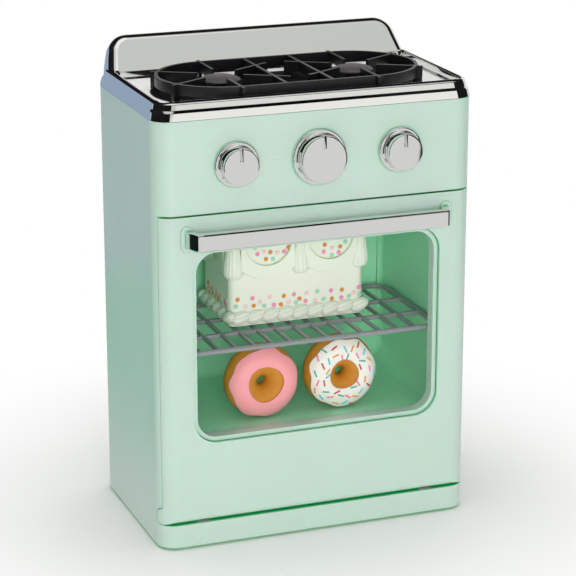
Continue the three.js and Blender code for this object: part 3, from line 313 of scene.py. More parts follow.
def mix(tree, share, first, second, kind="MIX"):
    settings = {"data_type": "RGBA", "blend_type": kind, 0: share, 6: first, 7: second}
    return add_node(tree, "ShaderNodeMix", settings).outputs[2]


def ripple(tree, spot, wave_mm, detail, strength, height_mm):
    wave = add_node(tree, "ShaderNodeTexNoise",
                    {"Vector": spot, "Scale": 1 / (wave_mm * MM), "Detail": detail})
    bump = add_node(tree, "ShaderNodeBump", {
        "Height": wave.outputs["Fac"], "Strength": strength, "Distance": height_mm * MM})
    tree.links.new(bump.outputs["Normal"], tree.nodes["Principled BSDF"].inputs["Normal"])


# %% [markdown]
# The body is injection-moulded ABS in a glossy mint. Such a surface is never quite even: it has a
# faint waviness where the plastic shrank over the ribs, drawn as bump, and its colour drifts slowly.
# Both come from noise whose sizes are given in millimetres. Light enters the plastic a little.

# %% Moulded plastic
PLASTIC_IOR, LIGHT_DEPTH_MM, DRIFT_MM = 1.53, 3, 45


def moulded(name, code, roughness, wave_mm=9.0, wave_height=0.02, shade=0.03, subsurface=0.0,
            reach=(0.25, 1.0, 0.55)):
    material, tree, shader = new_material(name, {
        "Base Color": colour(code), "Roughness": roughness, "IOR": PLASTIC_IOR})
    if subsurface:
        shader.inputs["Subsurface Weight"].default_value = subsurface
        shader.inputs["Subsurface Radius"].default_value = reach
        shader.inputs["Subsurface Scale"].default_value = LIGHT_DEPTH_MM * MM
    spot = place_on(tree)
    ripple(tree, spot, wave_mm, 2.0, 0.25, wave_height)
    drift = add_node(tree, "ShaderNodeTexNoise", {"Vector": spot, "Scale": 1 / (DRIFT_MM * MM), "Detail": 1.0})
    level = ramp(tree, drift.outputs["Fac"], 0, 1, 1 - shade, 1 + shade / 2)
    tree.links.new(mix(tree, 1.0, colour(code), level, "MULTIPLY"), shader.inputs["Base Color"])
    return material


# %% [markdown]
# In a narrow joint the light goes to and fro between mint walls and comes out deep green, and piped
# cream lies in shade between its ridges. Both are painted shade: Ambient Occlusion tells how open a
# spot is, and the deeper colour is mixed in where it is closed. The tub's front frame is as pale as
# the body. The tub behind it is mint plastic, and its greener colour is painted bounce light, for the
# light that goes to and fro between its walls, so its colour changes along the Y axis.

# %% Plastics
JOINT_SHADE_RANGE = 0.45
FRAME_PALE_TO, TUB_PAINTED_BOUNCE_FROM = -53.5, -46


def paint_joint_shade(material, code, reach_mm, opening):
    tree = material.node_tree
    base = tree.nodes["Principled BSDF"].inputs["Base Color"]
    # Painted shade: the more closed the spot, the more of the deeper colour is mixed in.
    joint = add_node(tree, "ShaderNodeAmbientOcclusion", {"samples": 8, "Distance": reach_mm * MM})
    closed = ramp(tree, joint.outputs["AO"], opening, opening - JOINT_SHADE_RANGE)
    tree.links.new(mix(tree, closed, base.links[0].from_socket, colour(code)), base)


mint_abs = moulded("mint_abs_gloss_moulded", "#bed4c8", 0.24, subsurface=0.6)
mint_inside = moulded("mint_abs_oven_inside_painted_bounce", "#aef5cb", 0.28, subsurface=0.6)
tree = mint_inside.node_tree
base = tree.nodes["Principled BSDF"].inputs["Base Color"]
# Painted bounce light: the tub is mint plastic, painted greener behind its pale front frame.
within = ramp(tree, axes(tree, place_on(tree))["Y"], FRAME_PALE_TO * MM, TUB_PAINTED_BOUNCE_FROM * MM)
tree.links.new(mix(tree, within, colour("#bcd8c8"), base.links[0].from_socket), base)
# Painted shade: the mint's joints turn deep green.
paint_joint_shade(mint_abs, "#12c878", 3.0, 0.78)
black_abs = moulded("black_abs_satin_moulded", "#19171a", 0.36, wave_mm=2.0)
dark_abs = moulded("charcoal_abs_cap_moulded", "#4b484b", 0.42, wave_mm=1.2)
rack_abs = moulded("grey_painted_abs_rack", "#8b8e91", 0.30, wave_mm=3.0)
cake_pvc = moulded("cream_soft_vinyl_moulded", "#e6e9dc", 0.5, wave_mm=6.0, wave_height=0.08,
                   subsurface=0.2, reach=(0.3, 0.24, 0.18))
# Painted shade between the piped ridges of the cream.
paint_joint_shade(cake_pvc, "#b7be9f", 1.8, 0.8)
dough_pvc = moulded("golden_vinyl_dough", "#c8862a", 0.45, wave_mm=5.0, wave_height=0.15, shade=0.12)
pink_pvc = moulded("pink_vinyl_icing_gloss", "#f19fa3", 0.22, wave_mm=7.0, wave_height=0.1)
white_pvc = moulded("ivory_vinyl_icing_gloss", "#ece9df", 0.22, wave_mm=7.0, wave_height=0.1)
print("plastics ready")

# %% [markdown]
# The hob, knobs and handle are ABS with vacuum-plated chrome: a mirror that keeps the slight waves of
# the plastic under it. The screws and pins are plain bright steel.

# %% Plated and plain metal
CHROME_ROUGHNESS = 0.06


def plated(name, code, roughness, wave_mm, wave_height):
    material, tree, shader = new_material(name, {
        "Base Color": colour(code), "Metallic": 1.0, "Roughness": roughness})
    ripple(tree, place_on(tree), wave_mm, 1.0, 0.2, wave_height)
    return material


chrome = plated("chrome_plated_abs", "#e8e8e6", CHROME_ROUGHNESS, 14.0, 0.03)
hob_chrome = plated("chrome_plated_abs_satin_pan", "#e8e8e6", CHROME_ROUGHNESS, 14.0, 0.03)
steel = plated("bright_zinc_steel", "#a9adb0", 0.32, 1.0, 0.02)
magnet_ferrite = plated("sintered_ferrite", "#3b3b3e", 0.6, 1.0, 0.05)
print("metals ready")

# %% [markdown]
# In the hob's sunken pan the plating gives way to a satin surface, pale at the edges and black in a
# field with round ends under the grate. A box given by middle and half size on each axis marks off the
# pan. The black field is all that lies within one distance of the line between the two burners.

# %% Satin pan with its black field
PAN_BOX = (("X", 0, 103.5), ("Y", -8.8, 50.8), ("Z", 290, 5))
PAN_BLUR, FIELD_RADIUS, FIELD_BLUR = 0.5, 46, 0.3
tree = hob_chrome.node_tree
shader = tree.nodes["Principled BSDF"]
where = axes(tree, place_on(tree))
in_pan = 1
for axis, middle, half in PAN_BOX:
    offset = maths(tree, "ABSOLUTE", maths(tree, "SUBTRACT", where[axis], middle * MM))
    inside = ramp(tree, offset, (half - PAN_BLUR) * MM, (half + PAN_BLUR) * MM, 1, 0)
    in_pan = maths(tree, "MULTIPLY", in_pan, inside)
beyond = maths(tree, "SUBTRACT", maths(tree, "ABSOLUTE", where["X"]), BURNER_X * MM)
beyond = maths(tree, "MAXIMUM", beyond, 0)
across = maths(tree, "SUBTRACT", where["Y"], BURNER_Y * MM)
from_line = add_node(tree, "ShaderNodeCombineXYZ", {"X": beyond, "Y": across}).outputs["Vector"]
distance = add_node(tree, "ShaderNodeVectorMath", {"operation": "LENGTH", 0: from_line}).outputs["Value"]
field = ramp(tree, distance, (FIELD_RADIUS - FIELD_BLUR) * MM, (FIELD_RADIUS + FIELD_BLUR) * MM, 1, 0)
paint = mix(tree, maths(tree, "MULTIPLY", field, in_pan), colour("#ececea"), colour("#121113"))
tree.links.new(paint, shader.inputs["Base Color"])
for key, bright, satin in (("Roughness", CHROME_ROUGHNESS, 0.6), ("Metallic", 1.0, 0.0)):
    tree.links.new(ramp(tree, in_pan, 0, 1, bright, satin), shader.inputs[key])
print("satin pan ready")

# %% [markdown]
# A finished piece gets its finish, is attached to the body that it moves with, and hides the solid
# that it stands for. One line does this for every piece.

# %% Handing a piece to the frame
def finish(piece, material, body, slot, *nodes):
    piece.data.materials.clear()
    piece.data.materials.append(material)
    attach(piece, body)
    if nodes:
        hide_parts(*nodes)
    low = [min(v.co[i] for v in piece.data.vertices) / MM for i in range(3)]
    high = [max(v.co[i] for v in piece.data.vertices) / MM for i in range(3)]
    print(piece.name, [round(v, 1) for v in low], [round(v, 1) for v in high], len(piece.data.polygons))


# %% [markdown]
# ## Cabinet
# The cabinet is one moulding: four walls with large upright corner radii, open above and below, with
# a bay in front for the door. It is a bevelled box without its top and bottom, given a wall with
# Solidify, and the bay and holes are then cut out of it.

# %% Cabinet walls
cabinet = rounded_block("cabinet_moulding", (-HALF_WIDTH, FRONT, 1.5), (HALF_WIDTH, BACK, 289.5),
                        2, CORNER, 16)
walls_of(cabinet, 3)

# %% [markdown]
# The bay leaves thin side walls that the door's skin closes against, with a round notch at the hinge
# line so that the door's foot can turn. Two shelves stiffen the panel and the plinth. Each cutter
# runs a little past the surface that it cuts.

# %% Bay, shelves and holes
BAY_FOOT, BAY_TOP, BAY_BACK = 17, 228.5, -60
cut(cabinet, block("bay", (-112, -70, BAY_FOOT), (112, BAY_BACK, BAY_TOP)))
cut(cabinet, rod("hinge_notch", 6, (-112, HINGE_Y, HINGE_Z), (112, HINGE_Y, HINGE_Z), 48))
fuse(cabinet, block("panel_shelf", (-104.5, -63.5, BAY_TOP), (104.5, -50, 231)))
fuse(cabinet, block("plinth_shelf", (-104.5, -63.5, 14.5), (104.5, -50, BAY_FOOT)))
cut(cabinet, rounded_block("rear_opening", (-94, 58, 20), (94, 70, 270), 1, 6))
for knob_x in (-KNOB_X, 0, KNOB_X):
    cut(cabinet, rod("spindle_hole", 6.8, (knob_x, -70, KNOB_Z), (knob_x, BAY_BACK, KNOB_Z)))
soften(cabinet, 0.5)
finish(cabinet, mint_abs, "cabinet", "mint_plastic", "cabinet_shell")

# %% [markdown]
# ## Oven tub
# Behind the door sits a tub with soft floor edges and a flat frame round its mouth. The tub is a
# rounded box cut from a slightly larger one, so that its wall is even all round. Ledges inside it
# carry the rack, and two lugs below it carry the door's hinge pins.

# %% Tub, frame, ledges and hinge lugs
tub = rounded_block("oven_tub_moulding", (-98.6, -54.5, 72), (98.6, 59.5, 208), 1, 14)
fuse(tub, block("tub_frame", (-106.7, -54.5, 17.3), (106.7, -52.5, 228.2)))
tub_core = rounded_block("tub_core", (-96.6, -56, 74), (96.6, 57.5, 206), 1, 12, 16)
round_edges(tub_core, at_level(1, 57.5), 5, 6)
cut(tub, tub_core)
for side in (-1, 1):
    low_x, high_x = sorted((side * 93, side * 97.5))
    fuse(tub, block("ledge", (low_x, -50.5, 125), (high_x, 58, 127.6)))
    lug = side * LUG_X
    fuse(tub, block("lug_neck", (lug - 4, HINGE_Y, 20.9), (lug + 4, -54, 25.1)))
    fuse(tub, rod("lug_eye", 3.4, (lug - 4, HINGE_Y, HINGE_Z), (lug + 4, HINGE_Y, HINGE_Z)))
    cut(tub, rod("lug_bore", 1.6, (lug - 6, HINGE_Y, HINGE_Z), (lug + 6, HINGE_Y, HINGE_Z)))
cut(tub, block("catch_pocket", (-10.3, -56, 212.7), (10.3, -51.2, 221.3)))
soften(tub, 0.4)
finish(tub, mint_inside, "cabinet", "mint_inside", "cavity_liner")

# %% [markdown]
# ## Door
# The door's skin wraps round the cabinet's front corners, so it starts as the same rounded box and is
# cut off behind. A core fits between the side walls. The foot is a rod about the hinge line, kept
# inside the skin's plan.

# %% Door skin and core
DOOR_TOP = 227.3
door = block("door_front_moulding", (-HALF_WIDTH, FRONT, 17.5), (HALF_WIDTH, -52, DOOR_TOP))
round_edges(door, lambda a, b: along(2)(a, b) and at_level(1, FRONT)(a, b), CORNER, 16)
door_plan = duplicate(door)
take(door)
bpy.ops.object.mode_set(mode="EDIT")
slice_off(Vector((0, HINGE_Y, 0)) * MM, (0, 1, 0), clear_outer=True)
slice_off(Vector((0, 0, HINGE_Z)) * MM, (0, 0, -1), clear_outer=True)
bpy.ops.object.mode_set(mode="OBJECT")
knuckle = rod("door_knuckle", 5.5, (-109.8, HINGE_Y, HINGE_Z), (109.8, HINGE_Y, HINGE_Z), 64)
combine(knuckle, door_plan, "INTERSECT")
core = block("door_core", (-103.6, -61, HINGE_Z), (103.6, -55, DOOR_TOP))
fuse(door, core, knuckle)

# %% [markdown]
# The window is open, with a soft edge outside and a step inside where the second moulding of the door
# shows. Two flat pads under the handle's ends are part of the skin.

# %% Window opening and pads
cut(door, rounded_block("window_cutter", (-86.5, -70, 72.4), (86.5, -50, 204.7), 1, 16.7, 16))
cut(door, block("plate_pocket", (-100.5, -57.8, 29.5), (100.5, -50, 225)))
for side in (-1, 1):
    lug = side * LUG_X
    cut(door, block("lug_notch", (lug - 4.4, -64.2, 15), (lug + 4.4, -50, 26.7)))
soften(door, 0.9)
pads = []
for side in (-1, 1):
    pad = rounded_block("handle_pad", (side * 90 - 4, -67.2, 204.3), (side * 90 + 4, -65, 221.3), 1, 3.95, 10)
    pads.append(soften(pad, 0.7))
gather("door_front_moulding", [door, *pads])
finish(door, mint_abs, "door", "mint_plastic", "door_outer")

# %% [markdown]
# The door's inner moulding closes the back of the skin and carries the window's frame forward. Six
# pockets take the screw heads, and a shallow seat takes the steel plate of the catch.

# %% Door inner moulding
inner = block("door_inner_moulding", (-100.2, -57.5, 29.8), (100.2, -55, 224.7))
fuse(inner, rounded_block("frame_out", (-86.2, -63.4, 72.7), (86.2, -55.5, 204.4), 1, 16.4, 16))
cut(inner, rounded_block("frame_in", (-83.3, -66, 75.6), (83.3, -50, 201.5), 1, 13.5, 16))
for side in (-1, 1):
    for screw_z in (45, 135, 216):
        cut(inner, rod("head_pocket", 3.1, (side * 95, -56.6, screw_z), (side * 95, -50, screw_z)))
cut(inner, block("plate_seat", (-10.3, -56.3, 212.7), (10.3, -50, 221.3)))
soften(inner, 0.7)
finish(inner, mint_abs, "door", "mint_plastic", "door_inner")

# %% [markdown]
# ## Hob
# The hob is one chromed moulding. Its sides lean in a little, carry a fine crease and turn over a round
# edge to a narrow rim. One function walks a rounded rectangle up such a profile of offsets and levels,
# and another lists the points of an edge that rolls over with one radius after another.

# %% Tray with its leaning sides and round edge
def walked(name, half_x, front_y, back_y, radius, profile, steps=16):
    offset, level = profile[0]
    middle = (front_y + back_y) / 2
    half_y = (back_y - front_y) / 2
    piece = rounded_block(name, (-half_x - offset, front_y - offset, level),
                          (half_x + offset, back_y + offset, level + 0.1), 2, radius, steps)
    choose(piece, "FACE", lambda centre, normal: normal.z > 0.9)
    level += 0.1
    for next_offset, next_level in profile[1:]:
        rise = (0, 0, (next_level - level) * MM)
        bpy.ops.mesh.extrude_region_move(TRANSFORM_OT_translate={"value": rise})
        ratio = ((half_x + next_offset) / (half_x + offset), (half_y + next_offset) / (half_y + offset), 1)
        bpy.ops.transform.resize(value=ratio, center_override=(0, middle * MM, 0))
        offset, level = next_offset, next_level
    bpy.ops.object.mode_set(mode="OBJECT")
    return piece


def rolled(offset, level, turns):
    points = [(offset, level)]
    for radius, first, last, steps in turns:
        for step in range(steps):
            before, after = (math.radians(first + (last - first) * (step + i) / steps) for i in (0, 1))
            offset -= radius * (math.cos(before) - math.cos(after))
            level += radius * (math.sin(after) - math.sin(before))
            points.append((offset, level))
    return points


tray_profile = [(0.3, 289.8), (-0.6, 294.6), (-0.75, 294.9), (-1.5, 296.2), (-1.62, 296.4), (-1.68, 296.6),
                *rolled(-2.38, 299.75, ((1.0, 12.6, 45, 4), (4.6, 45, 86, 8)))]
hob = walked("hob_moulding", HALF_WIDTH, FRONT, BACK, 13.3, tray_profile)

# %% [markdown]
# The pan is sunk with a cutter of the pan's own form, so nothing has to be bevelled after the cut: a
# round foot, upright sides, and a flare at the top that rounds the rim.

# %% Sunken pan
PAN_BACK = 42
pan_foot = [(-3 + 3 * math.sin(math.radians(turn)), 297 - 3 * math.cos(math.radians(turn)))
            for turn in range(0, 91, 11)]
pan_rim = [(0, 300.2), (0.1, 300.7), (0.35, 301.15), (0.75, 301.45), (1.3, 301.7), (1.4, 303)]
cut(hob, walked("pan", 103.6, -59.6, PAN_BACK, 4, [*pan_foot, *pan_rim], 12))

# %% [markdown]
# The backsplash starts as an upright plate with rounded top corners and a rolled edge. It is leant
# back, its rear face is pulled upright, and it is trimmed to stand on the tray behind the pan.

# %% Backsplash
SPLASH_HALF, SPLASH_TOP_HALF, SPLASH_LEAN, SPLASH_BACK = 109.8, 101.3, 38.3, 63.7
splash = block("backsplash", (-SPLASH_HALF, 0, -12), (SPLASH_HALF, 8.6, 30.1))
choose(splash, "VERT", lambda corner: corner.z > 20)
bpy.ops.transform.resize(value=(SPLASH_TOP_HALF / SPLASH_HALF, 1, 1), center_override=(0, 0, 0))
bpy.ops.object.mode_set(mode="OBJECT")
round_edges(splash, lambda a, b: along(1)(a, b) and a.z > 20, 12, 20)
round_edges(splash, lambda a, b: at_level(1, 0)(a, b) and max(a.z, b.z) > -11, 6.8, 12)
place(splash, (0, PAN_BACK, 300.6), (-SPLASH_LEAN, 0, 0))
choose(splash, "FACE", lambda centre, normal: normal.y > 0.5)
bpy.ops.transform.resize(value=(1, 0, 1), center_override=(0, SPLASH_BACK * MM, 0))
slice_off(Vector((0, PAN_BACK, 0)) * MM, (0, 1, 0), clear_inner=True)
slice_off(Vector((0, 0, 293)) * MM, (0, 0, 1), clear_inner=True)
bpy.ops.object.mode_set(mode="OBJECT")
plan = rounded_block("plan", (-107.7, -SPLASH_BACK, 285), (107.7, SPLASH_BACK, 330), 2, 10.7, 16)
combine(splash, plan, "INTERSECT")
fuse(hob, splash)
smooth(hob)
finish(hob, hob_chrome, "cabinet", "chromed_plastic", "hob_top")

# %% [markdown]
# ## Grate and burners
# One black moulding covers both burners: an upright band bent to a stadium, two bars across the
# middle, and six arms round each burner that end in posts standing on the pan.

# %% Grate
RING_FOOT, RING_TOP = 298.7, 305.6
grate = rounded_block("grate_moulding", (-89.75, -51, RING_FOOT), (89.75, 35, RING_TOP), 2, 42.9, 24)
walls_of(grate, 2.3)
for side in (-1, 1):
    fuse(grate, block("cross_bar", (side * 16 - 1.15, -50, RING_FOOT), (side * 16 + 1.15, 34, RING_TOP)))
    for turn in range(30, 390, 60):
        arm = block("arm", (15.5, -1.1, 298.8), (46.5, 1.1, 305.5))
        fuse(arm, block("post", (40.5, -1.1, 294.3), (46.4, 1.1, 304)))
        fuse(grate, place(arm, (side * BURNER_X, BURNER_Y, 0), (0, 0, turn)))
soften(grate, 0.35, 2)
finish(grate, black_abs, "cabinet", "black_plastic", "grate")

# %% [markdown]
# Each burner is a low black foot with a narrow neck, and a grey cap with a shallow dome.

# %% Burner bases and caps
base_profile = [(9, 294.3), (9, 295.2), (8.2, 296.8), (5.1, 296.9), (5.0, 298.8), (3.4, 298.8)]
cap_profile = [(3, 298.9), (3, 301.0), (12.6, 300.9), (13.3, 301.2), (13.5, 301.7), (13.2, 302.3),
               (11.8, 303.1), (9, 303.9), (5, 304.4), (1, 304.6)]
for side, where in ((-1, "left"), (1, "right")):
    base = turned(f"burner_base_{where}_turned", base_profile)
    soften(place(base, (side * BURNER_X, BURNER_Y, 0)), 0.2, 2)
    finish(base, black_abs, "cabinet", "grey_plastic", f"burner_base_{where}")
    cap = turned(f"burner_cap_{where}_domed", cap_profile)
    soften(place(cap, (side * BURNER_X, BURNER_Y, 0)), 0.15, 2)
    finish(cap, dark_abs, "cabinet", "dark_grey_plastic", f"burner_cap_{where}")

# %% [markdown]
# ## Knobs
# Each knob is a chromed cap with a rounded edge and a pointer notch, turning in a chromed flange on
# the panel. They are turned about an upright axis and then laid to face the front. Both profiles
# follow from the knob's radius and from that of the flange.

# %% Flanges and knobs
for where, knob_x, radius, outer in (("left", -KNOB_X, 12, 15), ("centre", 0, 15.5, 18.5),
                                     ("right", KNOB_X, 12, 15)):
    seat = (knob_x, FRONT, KNOB_Z)
    flange = turned(f"knob_flange_{where}", [
        (6.3, -2.9), (6.3, 0.3), (outer, 0.3), (outer, 1.4), (outer - 0.1, 1.75), (outer - 0.4, 2.15),
        (outer - 0.8, 2.3), (radius + 0.9, 2.3), (radius + 0.3, 3.0), (4.3, 3.05)], 96)
    soften(place(flange, seat, (90, 0, 0)), 0.15, 2)
    finish(flange, chrome, "cabinet", "chromed_plastic", f"knob_bezel_{where}")
    knob = turned(f"knob_cap_{where}", [
        (4, 3.3), (radius - 0.6, 3.4), (radius, 4.0), (radius, 9.9), (radius - 0.08, 10.2),
        (radius - 0.28, 10.42), (radius - 0.6, 10.55), (radius - 1.1, 10.62), (radius - 5, 10.78),
        (0.6, 10.95)], 96)
    pointer = block("pointer", (-1, radius - 8, 10.3), (1, radius + 1, 14))
    move_corners(pointer, lambda corner: corner.z < 11 and corner.y > radius, (0, 0, -2.4))
    cut(knob, pointer)
    soften(place(knob, seat, (90, 0, 0)), 0.2, 2)
    finish(knob, chrome, f"knob_{where}_set", "chromed_plastic", f"knob_{where}")

# %% [markdown]
# ## Door handle
# A straight chromed bar with a flat face. Its ends turn back to the door and splay outwards a little,
# which is done by moving the back corners of two short blocks. A narrow slope along the upper front
# edge, cut last, mirrors the dark part of the room as a thin black line.

# %% Handle
GRIP_HALF, GRIP_FRONT, GRIP_FOOT, GRIP_TOP = 87.2, -79.3, 207, 218.5
SLOPE_FOOT, SLOPE_LEAN = 217.38, math.radians(27)
handle = block("handle_bar", (-GRIP_HALF, GRIP_FRONT, GRIP_FOOT), (GRIP_HALF, -73.8, GRIP_TOP))
for side in (-1, 1):
    low_x, high_x = sorted((side * 82.6, side * GRIP_HALF))
    leg = block("handle_leg", (low_x, GRIP_FRONT, GRIP_FOOT), (high_x, -67.5, GRIP_TOP))
    move_corners(leg, lambda corner: corner.y > -68 and abs(corner.x) > 85, (side * 4.6, 0, 0))
    move_corners(leg, lambda corner: corner.y > -68 and abs(corner.x) < 85, (side * 3.1, 0, 0))
    fuse(handle, leg)
soften(handle, 1.2, 5)
bpy.ops.object.mode_set(mode="EDIT")
slice_off((0, GRIP_FRONT * MM, SLOPE_FOOT * MM), (0, -math.cos(SLOPE_LEAN), math.sin(SLOPE_LEAN)),
          clear_outer=True)
bpy.ops.object.mode_set(mode="OBJECT")
smooth(handle, 20)
add_modifier(handle, "WEIGHTED_NORMAL", weight=100)
finish(handle, chrome, "door", "chromed_plastic", "door_handle")

# %% [markdown]
# ## Rack
# The rack is a moulding that looks like wire. Its outer wire starts as a flat plate with rounded
# corners; only its outline is kept, made a curve and given a round section. The inner bars are flat.

# %% Rack
deselect_all()
bpy.ops.mesh.primitive_plane_add(size=1, location=(0, -1.05 * MM, 129.7 * MM))
outline = bpy.context.active_object
outline.scale = (188 * MM, 98.5 * MM, 1)
outline.name = "rack_moulding"
settle(outline)
bpy.ops.object.mode_set(mode="EDIT")
bpy.ops.mesh.select_all(action="SELECT")
bpy.ops.mesh.bevel(offset=9 * MM, segments=8, affect="VERTICES")
bpy.ops.mesh.delete(type="ONLY_FACE")
bpy.ops.object.mode_set(mode="OBJECT")
bpy.ops.object.convert(target="CURVE")
outline.data.bevel_depth = 1.8 * MM
outline.data.bevel_resolution = 4
bpy.ops.object.convert(target="MESH")
rack = bpy.context.active_object
bars = []
for step in range(-6, 7):
    bar_x = step * 12.8
    bars.append(block("rack_bar", (bar_x - 1.3, -50, 128.5), (bar_x + 1.3, 48, 130.9)))
for bar_y in (-18.8, 12.7):
    bars.append(block("rack_cross_bar", (-94, bar_y - 1.5, 128.2), (94, bar_y + 1.5, 131.0)))
bars = [soften(bar, 0.6, 3) for bar in bars]
gather("rack_moulding", [rack, *bars])
bpy.ops.object.shade_smooth_by_angle(angle=math.radians(40))
finish(rack, rack_abs, "rack", "rack_plastic", "rack")

# %% [markdown]
# ## Cake
# The cake is one soft vinyl moulding with the look of piped buttercream. The block comes first, with
# softly rounded edges, and the piping is modelled on it as separate strokes.

# %% Cake block
CAKE_LEFT, CAKE_RIGHT, CAKE_FRONT, CAKE_BACK, CAKE_TOP = -43, 54, -13, 43, 195.6
cake = rounded_block("cake_block_moulding", (CAKE_LEFT, CAKE_FRONT, 132.2), (CAKE_RIGHT, CAKE_BACK, CAKE_TOP),
                     2, 5, 8)
round_edges(cake, at_level(2, CAKE_TOP), 3, 5)
soften(cake, 0.3)
finish(cake, cake_pvc, "cake", "cake_plastic", "cake")

# %% [markdown]
# A piped stroke is ridged by the star nozzle. It is turned from a profile with an even number of
# columns, every second column is drawn in, and one subdivision rounds the ridges.

# %% Ridged strokes
def ridged(name, profile, columns, depth):
    piece = turned(name, profile, columns)
    width = 2 * math.pi / columns
    choose(piece, "VERT", lambda corner: round(math.atan2(corner.y, corner.x) / width) % 2 == 0)
    bpy.ops.transform.resize(value=(1 - depth, 1 - depth, 1), center_override=(0, 0, 0))
    bpy.ops.object.mode_set(mode="OBJECT")
    add_modifier(piece, "SUBSURF", levels=1, render_levels=1)
    bpy.ops.object.shade_smooth()
    return piece


# %% [markdown]
# A row of shells runs round the foot. One shell is made upright, then laid over at every place.

# %% Shell border round the foot
SHELL_Z, SHELL_TILT = 137.7, 74
shell = ridged("shell_master", [(0.5, -5.0), (2.8, -4.7), (4.6, -3.2), (5.5, -0.7), (5.6, 2.0), (5.1, 4.7),
                                (4.1, 7.0), (2.6, 8.8), (0.4, 9.8)], 24, 0.36)
shells = []
for step in range(9):
    across = CAKE_LEFT + (CAKE_RIGHT - CAKE_LEFT) * (step + 0.5) / 9
    shells.append(duplicate(shell, (across, -12.2, SHELL_Z), (0, SHELL_TILT, 0)))
    shells.append(duplicate(shell, (across, 42.2, SHELL_Z), (0, -SHELL_TILT, 0)))
for step in range(5):
    beside = CAKE_FRONT + (CAKE_BACK - CAKE_FRONT) * (step + 0.5) / 5
    shells.append(duplicate(shell, (53.2, beside, SHELL_Z), (-SHELL_TILT, 0, 0)))
    shells.append(duplicate(shell, (-42.2, beside, SHELL_Z), (SHELL_TILT, 0, 0)))
bpy.data.objects.remove(shell)
finish(gather("cake_shell_border", shells), cake_pvc, "cake", "cake_plastic")

# %% [markdown]
# Pleated tassels hang at the corners and in the middle of the long sides, half sunk in the block.

# %% Tassels at the corners and in the middle
tassel = ridged("tassel_master", [(1.2, 164.9), (5.2, 165.3), (7.2, 167.0), (7.8, 170), (7.4, 176), (6.3, 182),
                                  (5.2, 188), (4.2, 192.5), (2.8, 194.3), (0.6, 194.8)], 36, 0.22)
tassels = [duplicate(tassel, (tassel_x, tassel_y, 0))
           for tassel_x in (-39.4, 7.6, 50.6) for tassel_y in (-10.0, 40.0)]
bpy.data.objects.remove(tassel)
finish(gather("cake_tassels", tassels), cake_pvc, "cake", "cake_plastic")

# %% [markdown]
# Between the tassels hang swags. Their lower edge is a shallow arc and their upper edge a deeper one,
# so each swag is a flat panel kept inside one round cutter and outside another.

# %% Swags
swag = rounded_block("swag_master", (-19.5, -2.0, 160), (19.5, 1, 194.4), 2, 0.9, 3)
combine(swag, rod("lower_arc", 30.7, (0, -6, 195.3), (0, 6, 195.3), 96), "INTERSECT")
cut(swag, rod("upper_arc", 16.6, (0, -6, 189.9), (0, 6, 189.9), 96))
soften(swag, 1.3, 4, 50)
swags = []
for swag_x in (-15.9, 29.1):
    swags.append(duplicate(swag, (swag_x, CAKE_FRONT, 0)))
    swags.append(duplicate(swag, (swag_x, CAKE_BACK, 0), (0, 0, 180)))
swags.append(duplicate(swag, (CAKE_LEFT, 15, 0), (0, 0, -90)))
swags.append(duplicate(swag, (CAKE_RIGHT, 15, 0), (0, 0, 90)))
bpy.data.objects.remove(swag)
finish(gather("cake_swags", swags), cake_pvc, "cake", "cake_plastic")

# %% [markdown]
# Round sugar dots in four colours are scattered in a band above the border and inside the swags. The
# front has them where the eye expects them; the other sides get a seeded scatter of the same kind.

# %% Sugar dots
dot_places = {
    "orange": [(-37.6, 151.2), (-26.1, 145.7), (-4.4, 150.3), (-6.5, 144.6), (6.9, 147.2), (37.9, 150.1),
               (30.6, 144.6), (-14.0, 182.2), (-17.2, 177.6), (-1.2, 184.4), (25.2, 183.3), (36.4, 181.0)],
    "pink": [(-26.9, 151.1), (-11.6, 144.9), (2.9, 150.6), (11.4, 144.9), (29.9, 150.4), (50.3, 150.6),
             (37.6, 144.6), (-23.2, 181.7), (-4.2, 181.7), (24.5, 178.4), (35.4, 177.0)],
    "rose": [(-32.0, 145.6), (-21.6, 148.0), (-14.5, 150.7), (-0.7, 145.6), (12.0, 150.6), (18.5, 144.5),
             (46.6, 146.9), (-18.4, 183.0), (-9.0, 181.3), (30.5, 180.4)],
    "mint": [(-38.8, 146.6), (-18.4, 144.9), (4.3, 144.6), (19.9, 150.9), (43.2, 144.9), (24.5, 144.9),
             (50.9, 145.2), (-25.0, 186.3), (-12.2, 177.3), (30.4, 175.6), (40.2, 184.0)],
}
dot_colours = {"orange": "#df8c35", "pink": "#f08fb8", "rose": "#f3c9c8", "mint": "#9fd3bb"}
BAND_LOW, BAND_HIGH, DOT_GAP = 144.5, 151.5, 0.02
dot = turned("dot_master", [(1.55, 0), (1.5, 0.2), (1.2, 0.36), (0.7, 0.45), (0.2, 0.48)], 20)
bpy.ops.object.shade_smooth()
chance = random.Random(7)
for tint, spots in dot_places.items():
    dots = [duplicate(dot, (x, CAKE_FRONT - DOT_GAP, z), (90, 0, 0)) for x, z in spots]
    for _ in range(6):
        z = chance.uniform(BAND_LOW, BAND_HIGH)
        dots.append(duplicate(dot, (chance.uniform(-38, 50), CAKE_BACK + DOT_GAP, z), (-90, 0, 0)))
        dots.append(duplicate(dot, (CAKE_LEFT - DOT_GAP, chance.uniform(-8, 38), z), (0, -90, 0)))
        spot = (CAKE_RIGHT + DOT_GAP, chance.uniform(-8, 38), chance.uniform(BAND_LOW, BAND_HIGH))
        dots.append(duplicate(dot, spot, (0, 90, 0)))
    for _ in range(7):
        dots.append(duplicate(dot, (chance.uniform(-34, 45), chance.uniform(-4, 34), CAKE_TOP)))
    sugar = moulded(f"sugar_dot_{tint}", dot_colours[tint], 0.45, wave_mm=1.5)
    finish(gather(f"cake_dots_{tint}", dots), sugar, "cake", "cake_plastic")
bpy.data.objects.remove(dot)

